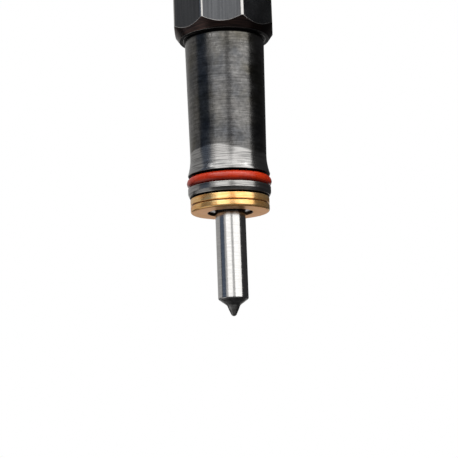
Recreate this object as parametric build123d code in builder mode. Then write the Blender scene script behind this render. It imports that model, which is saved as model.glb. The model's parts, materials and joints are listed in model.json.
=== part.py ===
from build123d import *

import os
from math import cos, radians, sin, sqrt, tan

# Heavy-duty common-rail diesel fuel injector with a solenoid control valve.
#
# Millimetres, +Z up along the injector's axis. The origin is on the axis, in the plane of the
# sealing washer's lower face, which is where the injector seats in the cylinder head. The spray tip
# points down, the high-pressure inlet points along +X and the electrical socket along -X.

# ---------------------------------------------------------------- driving dimensions

FIT = 0.015  # radial clearance of a lapped running fit
SLIP = 0.05  # radial clearance of parts that only locate each other
NEEDLE_LIFT = 0.25
ARMATURE_LIFT = 0.05
AIR_GAP = 0.05  # between armature and magnet with the valve open

# Nozzle
SHANK_R = 3.5
SHANK_TOP_Z = 0.35
SHANK_LOW_Z = -20.05
SHANK_RELIEF_R = 3.2  # above the shank, inside the nut
TIP_Z = -23.98
NOZZLE_R = 7.15
NOZZLE_LOW_Z = 10.5  # the nut carries the nozzle here
NOZZLE_TOP_Z = 29.0
GUIDE_R = 2.0
GALLERY_Z = (13.0, 16.8)
SHANK_BORE_R = 1.85
SAC_R = 0.42
SAC_TOP_Z = -21.9
SEAT_HALF_ANGLE = 30.0
SPRAY_HOLES = 7
SPRAY_HOLE_R = 0.12
SPRAY_Z = -22.35
SPRAY_BELOW_LEVEL = 17.5
STEM_R = 1.35
NEEDLE_NOSE_R = 1.4  # the needle's upper pin, through the spring seat
NEEDLE_TOP_Z = 31.0

# Sealing washer and nozzle nut
WASHER_R = 9.15
WASHER_BORE_R = 5.15
WASHER_TOP_Z = 3.3
NOSE_R = 4.95  # the nut's spigot through the washer
NOSE_LOW_Z = 0.5
NOSE_BORE_R = 3.6
SEAT_LAND_R = 7.9
RIM_Z = 3.65
COLLAR_R = 9.62
GROOVE_R = 7.33
GROOVE_Z = (5.75, 8.65)
NUT_RING_SECTION_R = 1.25
COLLAR_TOP_R = 9.52
WAIST_R = 8.88
WAIST_Z = 13.2
BARREL_R = 9.33
BARREL_TOP_Z = 40.95
UNDERCUT_R = 9.05
WRENCH_FLATS = 8
WRENCH_ACROSS = 23.0
WRENCH_TURN = -1.7  # degrees from flats that face the inlet squarely
WRENCH_LOW_Z = 41.3
WRENCH_CORNER_Z = 44.0  # where the lower chamfer meets the corners
WRENCH_CHAMFER = 55.0  # degrees from level
WRENCH_TOP_Z = 56.6
SCREW_R = 8.5  # thread between the nut and the body

# Injector body
RELIEF_R = 7.9
PILOT_R = 13.0
PILOT_LOW_Z = 58.2
PILOT_TOP_Z = 78.5
PILOT_GROOVE_R = 10.75
PILOT_GROOVE_Z = (62.0, 65.0)
NECK_R = 12.5  # between the pilot and the head, where the clamp grips
BODY_RING_SECTION_R = 1.2
CLAMP_Z = (80.0, 91.0)
CLAMP_HALF = 9.0  # half the distance across the clamp's flats
HEAD_R = 14.6
HEAD_TOP_Z = 105.0
CAP_THREAD_R = 14.0
BODY_TOP_Z = 117.5
CHAMBER_R = 3.75
CHAMBER_TOP_Z = 46.2
PISTON_BORE_R = 2.4
FEED_R = 0.9
FEED_LOW_X = 5.5
FEED_HIGH_X = 8.0
DOWEL_R = 1.0
DOWEL_Y = 5.4
DOWEL_REACH = 3.5  # into each of the two parts

# Springs: mean radius, wire radius, turns
NEEDLE_SPRING = (2.85, 0.5, 7)
VALVE_SPRING = (2.25, 0.4, 8)
ARMATURE_SPRING = (2.2, 0.2, 1.5)

# Needle spring and control piston
SPRING_SEAT_Z = (29.4, 30.6)
SHIM_LOW_Z = 45.4
ROD_R = 1.5
PISTON_R = 2.135
PISTON_TOP_Z = 102.6
PISTON_GROOVES_Z = (96.5, 98.5, 100.5)

# Control valve
STEM_BORE_R = 4.65
STEM_LOW_Z = 95.0
SEAL_RING_THICK = 1.0
FLANGE_LOW_Z = 104.0
FLANGE_TOP_Z = 108.2
VALVE_BORE_R = 8.3
CONTROL_TOP_Z = 103.8
THROTTLE_R = 0.15
BALL_R = 0.67
BALL_SEAT_R = 0.45
BALL_SEAT_Z = 109.0
BALL_Z = BALL_SEAT_Z + sqrt(BALL_R**2 - BALL_SEAT_R**2) + 0.003
CARRIER_Z = (109.65, 110.5)
CARRIER_R = 1.3
SOCKET_ACROSS = 10.0  # hexagon socket in the valve screw
SCREW_TOP_Z = 112.4
LEDGE_Z = 113.0
LEDGE_BORE_R = 10.5
GUIDE_FLANGE_TOP_Z = 115.0
GUIDE_TOP_Z = 115.6
GUIDE_HUB_R = 3.9
DRAIN_CIRCLE_R = 6.2
DRAIN_HOLE_R = 1.0
PIN_R = 1.6
PLATE_R = 7.6
PLATE_Z = (116.7, 118.7)
PLATE_SLOT = (4.0, 1.2)
CLIP_Z = (118.73, 119.18)
CLIP_R = 2.7
CLIP_BORE_R = 1.22
PIN_TOP_Z = 119.9

# Magnet, its sleeve and cap nut
MAGNET_FACE_Z = PLATE_Z[1] + ARMATURE_LIFT + AIR_GAP
MAGNET_TOP_Z = 132.0
MAGNET_R = 10.4
MAGNET_BORE_R = 3.1
COIL_SLOT_R = (5.4, 8.4)
COIL_SLOT_TOP_Z = 127.8
SLEEVE_R = 11.8
SLEEVE_TOP_Z = 134.5
SLEEVE_FLANGE_R = 13.5
SLEEVE_FLANGE_TOP_Z = 119.5
CAP_RING_SECTION_R = 0.7
CAP_RING_R = 12.2
CAP_ACROSS = 32.0
CAP_Z = (106.2, 122.4)
CAP_SKIRT_R = 15.6

# Electrical connector and fuel return
HOUSING_R = 13.2
HOUSING_Z = (129.0, 149.0)
SOCKET_Z = 141.6
SOCKET_END_X = -27.0
SOCKET_FLOOR_X = -15.0
SOCKET_OUTSIDE = (21.0, 13.6)  # along Y, along Z
SOCKET_INSIDE = (17.4, 10.4)
SOCKET_CORNER_R = 3.2
COLLAR_X = (-23.9, -22.5)  # raised rim round the socket
COLLAR_STEP = 0.8
LATCH_X = (-26.6, -25.0)
LATCH_STEP = 0.9
LATCH_HALF = 3.0
BLADE_Y = 2.9
BLADE_WIDTH = 2.8
BLADE_THICK = 0.8
BLADE_X = (-24.0, -6.4)
LEG_X = -7.0
LEG_R = 0.6
LEG_HOLE_R = 1.0
RETURN_R = 4.0
RETURN_BORE_R = 1.5
RETURN_TOP_Z = 161.0
RETURN_FLANGE_R = 5.2
RETURN_FLANGE_TOP_Z = 137.0
RETURN_GROOVE_Z = (151.0, 152.8)
RETURN_GROOVE_DEPTH = 0.8

# High-pressure inlet, measured from the injector's axis along +X
INLET_Z = 97.0
BOSS_R = 8.5
BOSS_END_X = 17.0
SPIGOT_R = 6.0
SPIGOT_X = 9.5
INLET_ACROSS = 19.0
INLET_HEX_END_X = 23.0
INLET_THREAD_R = 7.0
INLET_END_X = 36.0
INLET_BORE_R = 1.6
FILTER_X = (24.0, 31.0)
FILTER_FLUTES = 6
FILTER_FLUTE_R = 0.35
CROSS_BORE_R = 1.0  # from the inlet to the valve piece


# ---------------------------------------------------------------- helpers


def section(*points):
    """A closed outline of (radius, height) points, standing in the XZ plane."""
    with BuildSketch(Plane.XZ) as outline:
        with BuildLine():
            Polyline(*points, close=True)
        make_face()
    return outline.sketch


def ring_section(centre_r, section_r, z):
    """The round section of an O-ring that lies level."""
    with BuildSketch(Plane.XZ) as outline:
        with Locations((centre_r, z)):
            Circle(section_r)
    return outline.sketch


def outside_polygon(across, sides, turn=0.0):
    """Everything from a polygon's flats out to a circle, for cutting flats on a round blank."""
    with BuildSketch() as waste:
        Circle(2 * across)
        RegularPolygon(across / 2, sides, major_radius=False, rotation=180 / sides + turn, mode=Mode.SUBTRACT)
    return waste.sketch


def corner_radius(across, sides):
    """Distance from a polygon's centre to its corners."""
    return across / 2 / cos(radians(180 / sides))


def spring_path(spring, low_z, high_z):
    """The helix of a spring whose wire just fits between two levels."""
    mean_r, wire_r, turns = spring
    height = high_z - low_z - 2 * wire_r
    return Helix(pitch=height / turns, height=height, radius=mean_r, center=(0, 0, low_z + wire_r))


def save(builder, name):
    """Labels a finished piece and writes its STEP file."""
    builder.part.label = name
    export_step(builder.part, f"parts/{name}.step")


os.makedirs("parts", exist_ok=True)

# ---------------------------------------------------------------- sealing washer

WASHER_GROOVE_Z = WASHER_TOP_Z / 2
WASHER_GROOVE_HALF = 0.22
WASHER_GROOVE_DEPTH = 0.3

with BuildPart() as sealing_washer:
    with BuildSketch():
        Circle(WASHER_R)
        Circle(WASHER_BORE_R, mode=Mode.SUBTRACT)
    extrude(amount=WASHER_TOP_Z)
    rims = sealing_washer.edges().filter_by(GeomType.CIRCLE).sort_by(SortBy.RADIUS)[-2:]
    fillet(rims.sort_by(Axis.Z)[0], 0.5)
    rims = sealing_washer.edges().filter_by(GeomType.CIRCLE).group_by(Axis.Z)[-1]
    fillet(rims.sort_by(SortBy.RADIUS)[-1], 0.2)
    revolve(
        section(
            (WASHER_R + 0.1, WASHER_GROOVE_Z - WASHER_GROOVE_HALF),
            (WASHER_R + 0.1, WASHER_GROOVE_Z + WASHER_GROOVE_HALF),
            (WASHER_R - WASHER_GROOVE_DEPTH, WASHER_GROOVE_Z),
        ),
        axis=Axis.Z,
        mode=Mode.SUBTRACT,
    )
save(sealing_washer, "sealing_washer")

# ---------------------------------------------------------------- nozzle nut

NUT_BORE_R = NOZZLE_R + 0.1
NUT_CLEAR_R = 7.6
NUT_CLEAR_Z = (30.0, 42.6)
WRENCH_CORNER_R = corner_radius(WRENCH_ACROSS, WRENCH_FLATS)
WRENCH_LOW_R = WRENCH_CORNER_R - (WRENCH_CORNER_Z - WRENCH_LOW_Z) / tan(radians(WRENCH_CHAMFER))
FLARE_LOW_Z = GROOVE_Z[1] + 0.3

with BuildPart() as nozzle_nut:
    with BuildSketch(Plane.XZ):
        with BuildLine():
            Polyline(
                (WAIST_R, WAIST_Z),
                (BARREL_R, BARREL_TOP_Z - 0.25),
                (BARREL_R - 0.15, BARREL_TOP_Z),
                (UNDERCUT_R, BARREL_TOP_Z),
                (UNDERCUT_R, WRENCH_LOW_Z),
                (WRENCH_LOW_R, WRENCH_LOW_Z),
                (WRENCH_CORNER_R, WRENCH_CORNER_Z),
                (WRENCH_CORNER_R, WRENCH_TOP_Z - 1.0),
                (WRENCH_ACROSS / 2 - 0.4, WRENCH_TOP_Z),
                (SCREW_R + 0.8, WRENCH_TOP_Z),
                (SCREW_R, WRENCH_TOP_Z - 0.8),
                (SCREW_R, NUT_CLEAR_Z[1] + 1.8),
                (SCREW_R + 0.2, NUT_CLEAR_Z[1] + 1.6),
                (SCREW_R + 0.2, NUT_CLEAR_Z[1]),
                (NUT_CLEAR_R, NUT_CLEAR_Z[1]),
                (NUT_CLEAR_R, NUT_CLEAR_Z[0]),
                (NUT_BORE_R, NUT_CLEAR_Z[0]),
                (NUT_BORE_R, NOZZLE_LOW_Z),
                (NOSE_BORE_R, NOZZLE_LOW_Z),
                (NOSE_BORE_R, NOSE_LOW_Z),
                (NOSE_R - 0.3, NOSE_LOW_Z),
                (NOSE_R, NOSE_LOW_Z + 0.3),
                (NOSE_R, WASHER_TOP_Z),
                (SEAT_LAND_R, WASHER_TOP_Z),
                (SEAT_LAND_R, RIM_Z),
                (COLLAR_R - 0.35, RIM_Z),
                (COLLAR_R, RIM_Z + 0.85),
                (COLLAR_R, GROOVE_Z[0] - 0.1),
                (COLLAR_R - 0.1, GROOVE_Z[0]),
                (GROOVE_R, GROOVE_Z[0]),
                (GROOVE_R, GROOVE_Z[1]),
                (COLLAR_TOP_R, GROOVE_Z[1]),
                (COLLAR_TOP_R, FLARE_LOW_Z),
            )
            TangentArc((WAIST_R, WAIST_Z), (COLLAR_TOP_R, FLARE_LOW_Z), tangent=(0, -1))
        make_face()
    revolve(axis=Axis.Z)
    waste = outside_polygon(WRENCH_ACROSS, WRENCH_FLATS, WRENCH_TURN)
    extrude(Plane.XY.offset(WRENCH_LOW_Z) * waste, WRENCH_TOP_Z - WRENCH_LOW_Z, mode=Mode.SUBTRACT)
save(nozzle_nut, "nozzle_nut")

with BuildPart() as nozzle_o_ring:
    ring_r = GROOVE_R + 0.02 + NUT_RING_SECTION_R
    revolve(ring_section(ring_r, NUT_RING_SECTION_R, GROOVE_Z[0] + 0.02 + NUT_RING_SECTION_R), axis=Axis.Z)
save(nozzle_o_ring, "nozzle_o_ring")

# ---------------------------------------------------------------- nozzle

SEAT_SLOPE = tan(radians(SEAT_HALF_ANGLE))
SEAT_TOP_Z = SAC_TOP_Z + (SHANK_BORE_R - SAC_R) / SEAT_SLOPE
SAC_LOW_Z = -22.75
CONE_LOW_Z = -21.55  # where the tip's outer cone steepens
CONE_LOW_R = 1.5
TAPER_LOW_Z = -22.5
TAPER_LOW_R = 1.05
BALL_END_R = 0.62
BALL_END_SPREAD = radians(65)  # how far the tip's round end reaches from its lowest point


def ball_end_point(turn):
    """A point on the tip's round end, at an angle from its lowest point."""
    return (BALL_END_R * sin(turn), TIP_Z + BALL_END_R * (1 - cos(turn)))


with BuildPart() as nozzle_body:
    with BuildSketch(Plane.XZ):
        with BuildLine():
            Polyline(
                (0, TIP_Z),
                (0, NOZZLE_TOP_Z),
                (NOZZLE_R - 0.3, NOZZLE_TOP_Z),
                (NOZZLE_R, NOZZLE_TOP_Z - 0.3),
                (NOZZLE_R, NOZZLE_LOW_Z),
                (SHANK_RELIEF_R, NOZZLE_LOW_Z),
                (SHANK_RELIEF_R, SHANK_TOP_Z + 0.1),
                (SHANK_R, SHANK_TOP_Z),
                (SHANK_R, SHANK_LOW_Z),
                (SHANK_R - 0.4, SHANK_LOW_Z - 0.3),
                (CONE_LOW_R, CONE_LOW_Z),
                (TAPER_LOW_R, TAPER_LOW_Z),
                ball_end_point(BALL_END_SPREAD),
            )
            ThreePointArc(ball_end_point(BALL_END_SPREAD), ball_end_point(BALL_END_SPREAD / 2), (0, TIP_Z))
        make_face()
    revolve(axis=Axis.Z)
    with BuildSketch(Plane.XZ):
        with BuildLine():
            Polyline(
                (0, SAC_LOW_Z - SAC_R),
                (0, NOZZLE_TOP_Z),
                (GUIDE_R, NOZZLE_TOP_Z),
                (GUIDE_R, GALLERY_Z[1]),
                (GUIDE_R + 1.1, GALLERY_Z[1] - 0.8),
                (GUIDE_R + 1.1, GALLERY_Z[0] + 0.9),
                (SHANK_BORE_R, GALLERY_Z[0]),
                (SHANK_BORE_R, SEAT_TOP_Z),
                (SAC_R, SAC_TOP_Z),
                (SAC_R, SAC_LOW_Z),
            )
            RadiusArc((SAC_R, SAC_LOW_Z), (0, SAC_LOW_Z - SAC_R), SAC_R)
        make_face()
    revolve(axis=Axis.Z, mode=Mode.SUBTRACT)
    with BuildSketch(Plane.XY.offset(NOZZLE_TOP_Z)):
        with Locations((0, DOWEL_Y), (0, -DOWEL_Y)):
            Circle(DOWEL_R)
    extrude(amount=-DOWEL_REACH - 0.3, mode=Mode.SUBTRACT)
    feed_run = Vector(-2.7, 0, -14.2)
    with BuildSketch(Plane(origin=(FEED_LOW_X, 0, NOZZLE_TOP_Z), z_dir=feed_run)):
        Circle(FEED_R - 0.15)
    extrude(amount=feed_run.length, mode=Mode.SUBTRACT)
    for number in range(SPRAY_HOLES):
        turn = radians(360 / SPRAY_HOLES * number)
        drop = radians(SPRAY_BELOW_LEVEL)
        out = (cos(turn) * cos(drop), sin(turn) * cos(drop), -sin(drop))
        with BuildSketch(Plane(origin=(0, 0, SPRAY_Z), z_dir=out)):
            Circle(SPRAY_HOLE_R)
        extrude(amount=2.5, mode=Mode.SUBTRACT)
save(nozzle_body, "nozzle_body")

POINT_Z = SAC_TOP_Z - SAC_R / SEAT_SLOPE + 0.02

with BuildPart() as nozzle_needle:
    revolve(
        section(
            (0, POINT_Z),
            (STEM_R, POINT_Z + STEM_R / SEAT_SLOPE),
            (STEM_R, GALLERY_Z[0] + 1.4),
            (GUIDE_R - FIT, GALLERY_Z[0] + 2.6),
            (GUIDE_R - FIT, NOZZLE_TOP_Z - 0.2),
            (NEEDLE_NOSE_R, NOZZLE_TOP_Z - 0.2),
            (NEEDLE_NOSE_R, NEEDLE_TOP_Z - 0.2),
            (NEEDLE_NOSE_R - 0.2, NEEDLE_TOP_Z),
            (0, NEEDLE_TOP_Z),
        ),
        axis=Axis.Z,
    )
save(nozzle_needle, "nozzle_needle")

with BuildPart() as dowel_pins:
    with BuildSketch(Plane.XY.offset(NOZZLE_TOP_Z - DOWEL_REACH)):
        with Locations((0, DOWEL_Y), (0, -DOWEL_Y)):
            Circle(DOWEL_R - 0.02)
    extrude(amount=2 * DOWEL_REACH)
    chamfer(dowel_pins.edges().filter_by(GeomType.CIRCLE), 0.2)
save(dowel_pins, "dowel_pins")

# ---------------------------------------------------------------- needle spring and control piston

with BuildPart() as spring_seat:
    revolve(
        section(
            (NEEDLE_NOSE_R + 0.02, NOZZLE_TOP_Z - 0.2),
            (GUIDE_R - 0.1, NOZZLE_TOP_Z - 0.2),
            (GUIDE_R - 0.1, SPRING_SEAT_Z[0]),
            (CHAMBER_R - 0.4, SPRING_SEAT_Z[0]),
            (CHAMBER_R - 0.4, SPRING_SEAT_Z[1]),
            (NEEDLE_NOSE_R + 0.02, SPRING_SEAT_Z[1]),
        ),
        axis=Axis.Z,
    )
save(spring_seat, "spring_seat")

with BuildPart() as needle_spring:
    with BuildLine() as coil:
        add(spring_path(NEEDLE_SPRING, SPRING_SEAT_Z[1], SHIM_LOW_Z))
    with BuildSketch(Plane(origin=coil.line @ 0, z_dir=coil.line % 0)):
        Circle(NEEDLE_SPRING[1])
    sweep(path=coil.line, is_frenet=True)
save(needle_spring, "needle_spring")

with BuildPart() as spring_shim:
    with BuildSketch(Plane.XY.offset(SHIM_LOW_Z)):
        Circle(CHAMBER_R - 0.1)
        Circle(PISTON_BORE_R + 0.1, mode=Mode.SUBTRACT)
    extrude(amount=CHAMBER_TOP_Z - SHIM_LOW_Z)
save(spring_shim, "spring_shim")

with BuildPart() as control_piston:
    revolve(
        section(
            (0, NEEDLE_TOP_Z),
            (ROD_R - 0.2, NEEDLE_TOP_Z),
            (ROD_R, NEEDLE_TOP_Z + 0.2),
            (ROD_R, SHIM_LOW_Z - 1.6),
            (PISTON_R, SHIM_LOW_Z - 0.9),
            (PISTON_R, PISTON_TOP_Z - 0.3),
            (PISTON_R - 0.3, PISTON_TOP_Z),
            (0, PISTON_TOP_Z),
        ),
        axis=Axis.Z,
    )
    for groove_z in PISTON_GROOVES_Z:
        with BuildSketch(Plane.XY.offset(groove_z)):
            Circle(PISTON_R + 0.1)
            Circle(PISTON_R - 0.15, mode=Mode.SUBTRACT)
        extrude(amount=0.4, mode=Mode.SUBTRACT)
save(control_piston, "control_piston")

# ---------------------------------------------------------------- injector body

NOSE_TOP_Z = NUT_CLEAR_Z[1] + 0.8
INLET_PLANE = Plane(origin=(0, 0, INLET_Z), x_dir=(0, 1, 0), z_dir=(1, 0, 0))

with BuildPart() as injector_body:
    revolve(
        section(
            (0, NOZZLE_TOP_Z),
            (NOZZLE_R - 0.3, NOZZLE_TOP_Z),
            (NOZZLE_R, NOZZLE_TOP_Z + 0.3),
            (NOZZLE_R, NOSE_TOP_Z),
            (SCREW_R - 0.6, NOSE_TOP_Z),
            (SCREW_R, NOSE_TOP_Z + 0.6),
            (SCREW_R, WRENCH_TOP_Z - 0.2),
            (RELIEF_R, WRENCH_TOP_Z + 0.4),
            (RELIEF_R, PILOT_LOW_Z),
            (PILOT_R - 1.0, PILOT_LOW_Z),
            (PILOT_R, PILOT_LOW_Z + 1.0),
            (PILOT_R, PILOT_GROOVE_Z[0]),
            (PILOT_GROOVE_R, PILOT_GROOVE_Z[0]),
            (PILOT_GROOVE_R, PILOT_GROOVE_Z[1]),
            (PILOT_R, PILOT_GROOVE_Z[1]),
            (PILOT_R, PILOT_TOP_Z),
            (NECK_R, PILOT_TOP_Z + 0.5),
            (NECK_R, CLAMP_Z[1] - 1.0),
            (NECK_R + 0.3, CLAMP_Z[1] - 0.3),
            (NECK_R + 1.0, CLAMP_Z[1]),
            (HEAD_R - 0.6, CLAMP_Z[1]),
            (HEAD_R, CLAMP_Z[1] + 0.6),
            (HEAD_R, HEAD_TOP_Z - 0.6),
            (HEAD_R - 0.6, HEAD_TOP_Z),
            (CAP_THREAD_R - 0.8, HEAD_TOP_Z),
            (CAP_THREAD_R - 0.8, CAP_Z[0]),
            (CAP_THREAD_R, CAP_Z[0] + 0.8),
            (CAP_THREAD_R, BODY_TOP_Z - 0.5),
            (CAP_THREAD_R - 0.5, BODY_TOP_Z),
            (0, BODY_TOP_Z),
        ),
        axis=Axis.Z,
    )
    with BuildSketch(INLET_PLANE):
        Circle(BOSS_R)
    extrude(amount=BOSS_END_X)
    boss_rim = injector_body.faces().sort_by(Axis.X)[-1].edges()
    chamfer(boss_rim, 0.8)
    with BuildSketch(Plane.XY.offset(CLAMP_Z[0])):
        with Locations((0, CLAMP_HALF + 10), (0, -CLAMP_HALF - 10)):
            Rectangle(60, 20)
    extrude(amount=CLAMP_Z[1] - CLAMP_Z[0], mode=Mode.SUBTRACT)
    revolve(
        section(
            (0, NOZZLE_TOP_Z),
            (CHAMBER_R, NOZZLE_TOP_Z),
            (CHAMBER_R, CHAMBER_TOP_Z),
            (PISTON_BORE_R, CHAMBER_TOP_Z),
            (PISTON_BORE_R, STEM_LOW_Z - SEAL_RING_THICK),
            (STEM_BORE_R, STEM_LOW_Z - SEAL_RING_THICK),
            (STEM_BORE_R, FLANGE_LOW_Z),
            (VALVE_BORE_R, FLANGE_LOW_Z),
            (VALVE_BORE_R, LEDGE_Z),
            (LEDGE_BORE_R, LEDGE_Z),
            (LEDGE_BORE_R, BODY_TOP_Z),
            (0, BODY_TOP_Z),
        ),
        axis=Axis.Z,
        mode=Mode.SUBTRACT,
    )
    with BuildSketch(Plane.XY.offset(NOZZLE_TOP_Z)):
        with Locations((0, DOWEL_Y), (0, -DOWEL_Y)):
            Circle(DOWEL_R)
    extrude(amount=DOWEL_REACH + 0.3, mode=Mode.SUBTRACT)
    feed_up = Vector(FEED_HIGH_X - FEED_LOW_X, 0, INLET_Z - NOZZLE_TOP_Z)
    with BuildSketch(Plane(origin=(FEED_LOW_X, 0, NOZZLE_TOP_Z), z_dir=feed_up)):
        Circle(FEED_R)
    extrude(amount=feed_up.length, mode=Mode.SUBTRACT)
    with BuildSketch(INLET_PLANE.offset(SPIGOT_X)):
        Circle(SPIGOT_R)
    extrude(amount=BOSS_END_X - SPIGOT_X, mode=Mode.SUBTRACT)
    with BuildSketch(INLET_PLANE.offset(STEM_BORE_R - 0.4)):
        Circle(CROSS_BORE_R)
    extrude(amount=SPIGOT_X - STEM_BORE_R + 0.4, mode=Mode.SUBTRACT)
save(injector_body, "injector_body")

with BuildPart() as body_o_ring:
    ring_r = PILOT_GROOVE_R + 0.05 + BODY_RING_SECTION_R
    revolve(ring_section(ring_r, BODY_RING_SECTION_R, sum(PILOT_GROOVE_Z) / 2), axis=Axis.Z)
save(body_o_ring, "body_o_ring")

# ---------------------------------------------------------------- control valve

with BuildPart() as valve_seal_ring:
    with BuildSketch(Plane.XY.offset(STEM_LOW_Z - SEAL_RING_THICK)):
        Circle(STEM_BORE_R - SLIP)
        Circle(PISTON_BORE_R + 0.2, mode=Mode.SUBTRACT)
    extrude(amount=SEAL_RING_THICK)
save(valve_seal_ring, "valve_seal_ring")

with BuildPart() as valve_seat:
    revolve(
        section(
            (PISTON_R + FIT, STEM_LOW_Z),
            (STEM_BORE_R - SLIP, STEM_LOW_Z),
            (STEM_BORE_R - SLIP, STEM_LOW_Z + 0.6),
            (STEM_BORE_R - 0.65, STEM_LOW_Z + 1.0),
            (STEM_BORE_R - 0.65, FLANGE_LOW_Z - 0.6),
            (STEM_BORE_R - SLIP, FLANGE_LOW_Z - 0.2),
            (STEM_BORE_R - SLIP, FLANGE_LOW_Z),
            (VALVE_BORE_R - 0.2, FLANGE_LOW_Z),
            (VALVE_BORE_R - 0.2, FLANGE_TOP_Z),
            (2.6, FLANGE_TOP_Z),
            (2.3, BALL_SEAT_Z),
            (BALL_SEAT_R, BALL_SEAT_Z),
            (BALL_SEAT_R, BALL_SEAT_Z - 0.4),
            (THROTTLE_R, BALL_SEAT_Z - 0.7),
            (THROTTLE_R, CONTROL_TOP_Z),
            (PISTON_R + FIT, CONTROL_TOP_Z),
        ),
        axis=Axis.Z,
    )
    with BuildSketch(Plane(origin=(0, 0, PISTON_TOP_Z + 0.6), z_dir=(0, 1, 0))):
        Circle(0.2)
    extrude(amount=STEM_BORE_R - 0.3, mode=Mode.SUBTRACT)
save(valve_seat, "valve_seat")

with BuildPart() as valve_screw:
    with BuildSketch(Plane.XY.offset(FLANGE_TOP_Z)):
        Circle(VALVE_BORE_R)
        RegularPolygon(SOCKET_ACROSS / 2, 6, major_radius=False, mode=Mode.SUBTRACT)
    extrude(amount=SCREW_TOP_Z - FLANGE_TOP_Z)
    rim = valve_screw.edges().filter_by(GeomType.CIRCLE).group_by(Axis.Z)[-1]
    chamfer(rim, 0.4)
save(valve_screw, "valve_screw")

with BuildPart() as valve_ball:
    with Locations((0, 0, BALL_Z)):
        Sphere(BALL_R)
save(valve_ball, "valve_ball")

with BuildPart() as ball_carrier:
    with BuildSketch(Plane.XY.offset(CARRIER_Z[0])):
        Circle(CARRIER_R)
    extrude(amount=CARRIER_Z[1] - CARRIER_Z[0])
    with Locations((0, 0, BALL_Z)):
        Sphere(BALL_R + 0.005, mode=Mode.SUBTRACT)
save(ball_carrier, "ball_carrier")

with BuildPart() as armature_guide:
    revolve(
        section(
            (PIN_R + FIT, CARRIER_Z[1] + 0.4),
            (GUIDE_HUB_R - 0.4, CARRIER_Z[1] + 0.4),
            (GUIDE_HUB_R, CARRIER_Z[1] + 0.8),
            (GUIDE_HUB_R, LEDGE_Z),
            (LEDGE_BORE_R - SLIP, LEDGE_Z),
            (LEDGE_BORE_R - SLIP, GUIDE_FLANGE_TOP_Z),
            (GUIDE_HUB_R + 0.4, GUIDE_FLANGE_TOP_Z),
            (GUIDE_HUB_R, GUIDE_TOP_Z),
            (PIN_R + FIT, GUIDE_TOP_Z),
        ),
        axis=Axis.Z,
    )
    with BuildSketch(Plane.XY.offset(LEDGE_Z)):
        with PolarLocations(DRAIN_CIRCLE_R, 4, start_angle=45):
            Circle(DRAIN_HOLE_R)
    extrude(amount=GUIDE_FLANGE_TOP_Z - LEDGE_Z, mode=Mode.SUBTRACT)
save(armature_guide, "armature_guide")

with BuildPart() as lift_spacer:
    with BuildSketch(Plane.XY.offset(GUIDE_FLANGE_TOP_Z)):
        Circle(LEDGE_BORE_R - 2 * SLIP)
        Circle(COIL_SLOT_R[1], mode=Mode.SUBTRACT)
    extrude(amount=MAGNET_FACE_Z - GUIDE_FLANGE_TOP_Z)
save(lift_spacer, "lift_spacer")

with BuildPart() as armature_pin:
    revolve(
        section(
            (0, CARRIER_Z[1]),
            (PIN_R - 0.15, CARRIER_Z[1]),
            (PIN_R, CARRIER_Z[1] + 0.15),
            (PIN_R, CLIP_Z[0]),
            (CLIP_BORE_R - 0.02, CLIP_Z[0]),
            (CLIP_BORE_R - 0.02, CLIP_Z[1]),
            (PIN_R - 0.1, CLIP_Z[1]),
            (PIN_R - 0.1, PIN_TOP_Z - 0.2),
            (PIN_R - 0.3, PIN_TOP_Z),
            (0, PIN_TOP_Z),
        ),
        axis=Axis.Z,
    )
save(armature_pin, "armature_pin")

with BuildPart() as armature_plate:
    with BuildSketch(Plane.XY.offset(PLATE_Z[0])):
        Circle(PLATE_R)
        Circle(PIN_R + FIT, mode=Mode.SUBTRACT)
        with PolarLocations(PLATE_R - 1.2, 4, start_angle=45):
            SlotOverall(*PLATE_SLOT, mode=Mode.SUBTRACT)
    extrude(amount=PLATE_Z[1] - PLATE_Z[0])
save(armature_plate, "armature_plate")

with BuildPart() as armature_spring:
    with BuildLine() as coil:
        add(spring_path(ARMATURE_SPRING, GUIDE_TOP_Z, PLATE_Z[0]))
    with BuildSketch(Plane(origin=coil.line @ 0, z_dir=coil.line % 0)):
        Circle(ARMATURE_SPRING[1])
    sweep(path=coil.line, is_frenet=True)
save(armature_spring, "armature_spring")

with BuildPart() as armature_clip:
    with BuildSketch(Plane.XY.offset(CLIP_Z[0])):
        Circle(CLIP_R)
        Circle(CLIP_BORE_R, mode=Mode.SUBTRACT)
        with Locations((CLIP_R / 2 + 0.5, 0)):
            Rectangle(CLIP_R, 1.5 * CLIP_BORE_R, mode=Mode.SUBTRACT)
    extrude(amount=CLIP_Z[1] - CLIP_Z[0])
save(armature_clip, "armature_clip")

# ---------------------------------------------------------------- magnet

SPRING_SHIM_Z = MAGNET_TOP_Z - 0.8
BOBBIN_Z = (MAGNET_FACE_Z + 0.4, COIL_SLOT_TOP_Z)

with BuildPart() as magnet_core:
    with BuildSketch(Plane.XY.offset(MAGNET_FACE_Z)):
        Circle(MAGNET_R)
        Circle(MAGNET_BORE_R, mode=Mode.SUBTRACT)
    extrude(amount=MAGNET_TOP_Z - MAGNET_FACE_Z)
    with BuildSketch(Plane.XY.offset(MAGNET_FACE_Z)):
        Circle(COIL_SLOT_R[1])
        Circle(COIL_SLOT_R[0], mode=Mode.SUBTRACT)
    extrude(amount=COIL_SLOT_TOP_Z - MAGNET_FACE_Z, mode=Mode.SUBTRACT)
    with BuildSketch(Plane.XY.offset(COIL_SLOT_TOP_Z)):
        with Locations((LEG_X, BLADE_Y), (LEG_X, -BLADE_Y)):
            Circle(LEG_HOLE_R)
    extrude(amount=MAGNET_TOP_Z - COIL_SLOT_TOP_Z, mode=Mode.SUBTRACT)
save(magnet_core, "magnet_core")

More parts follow.
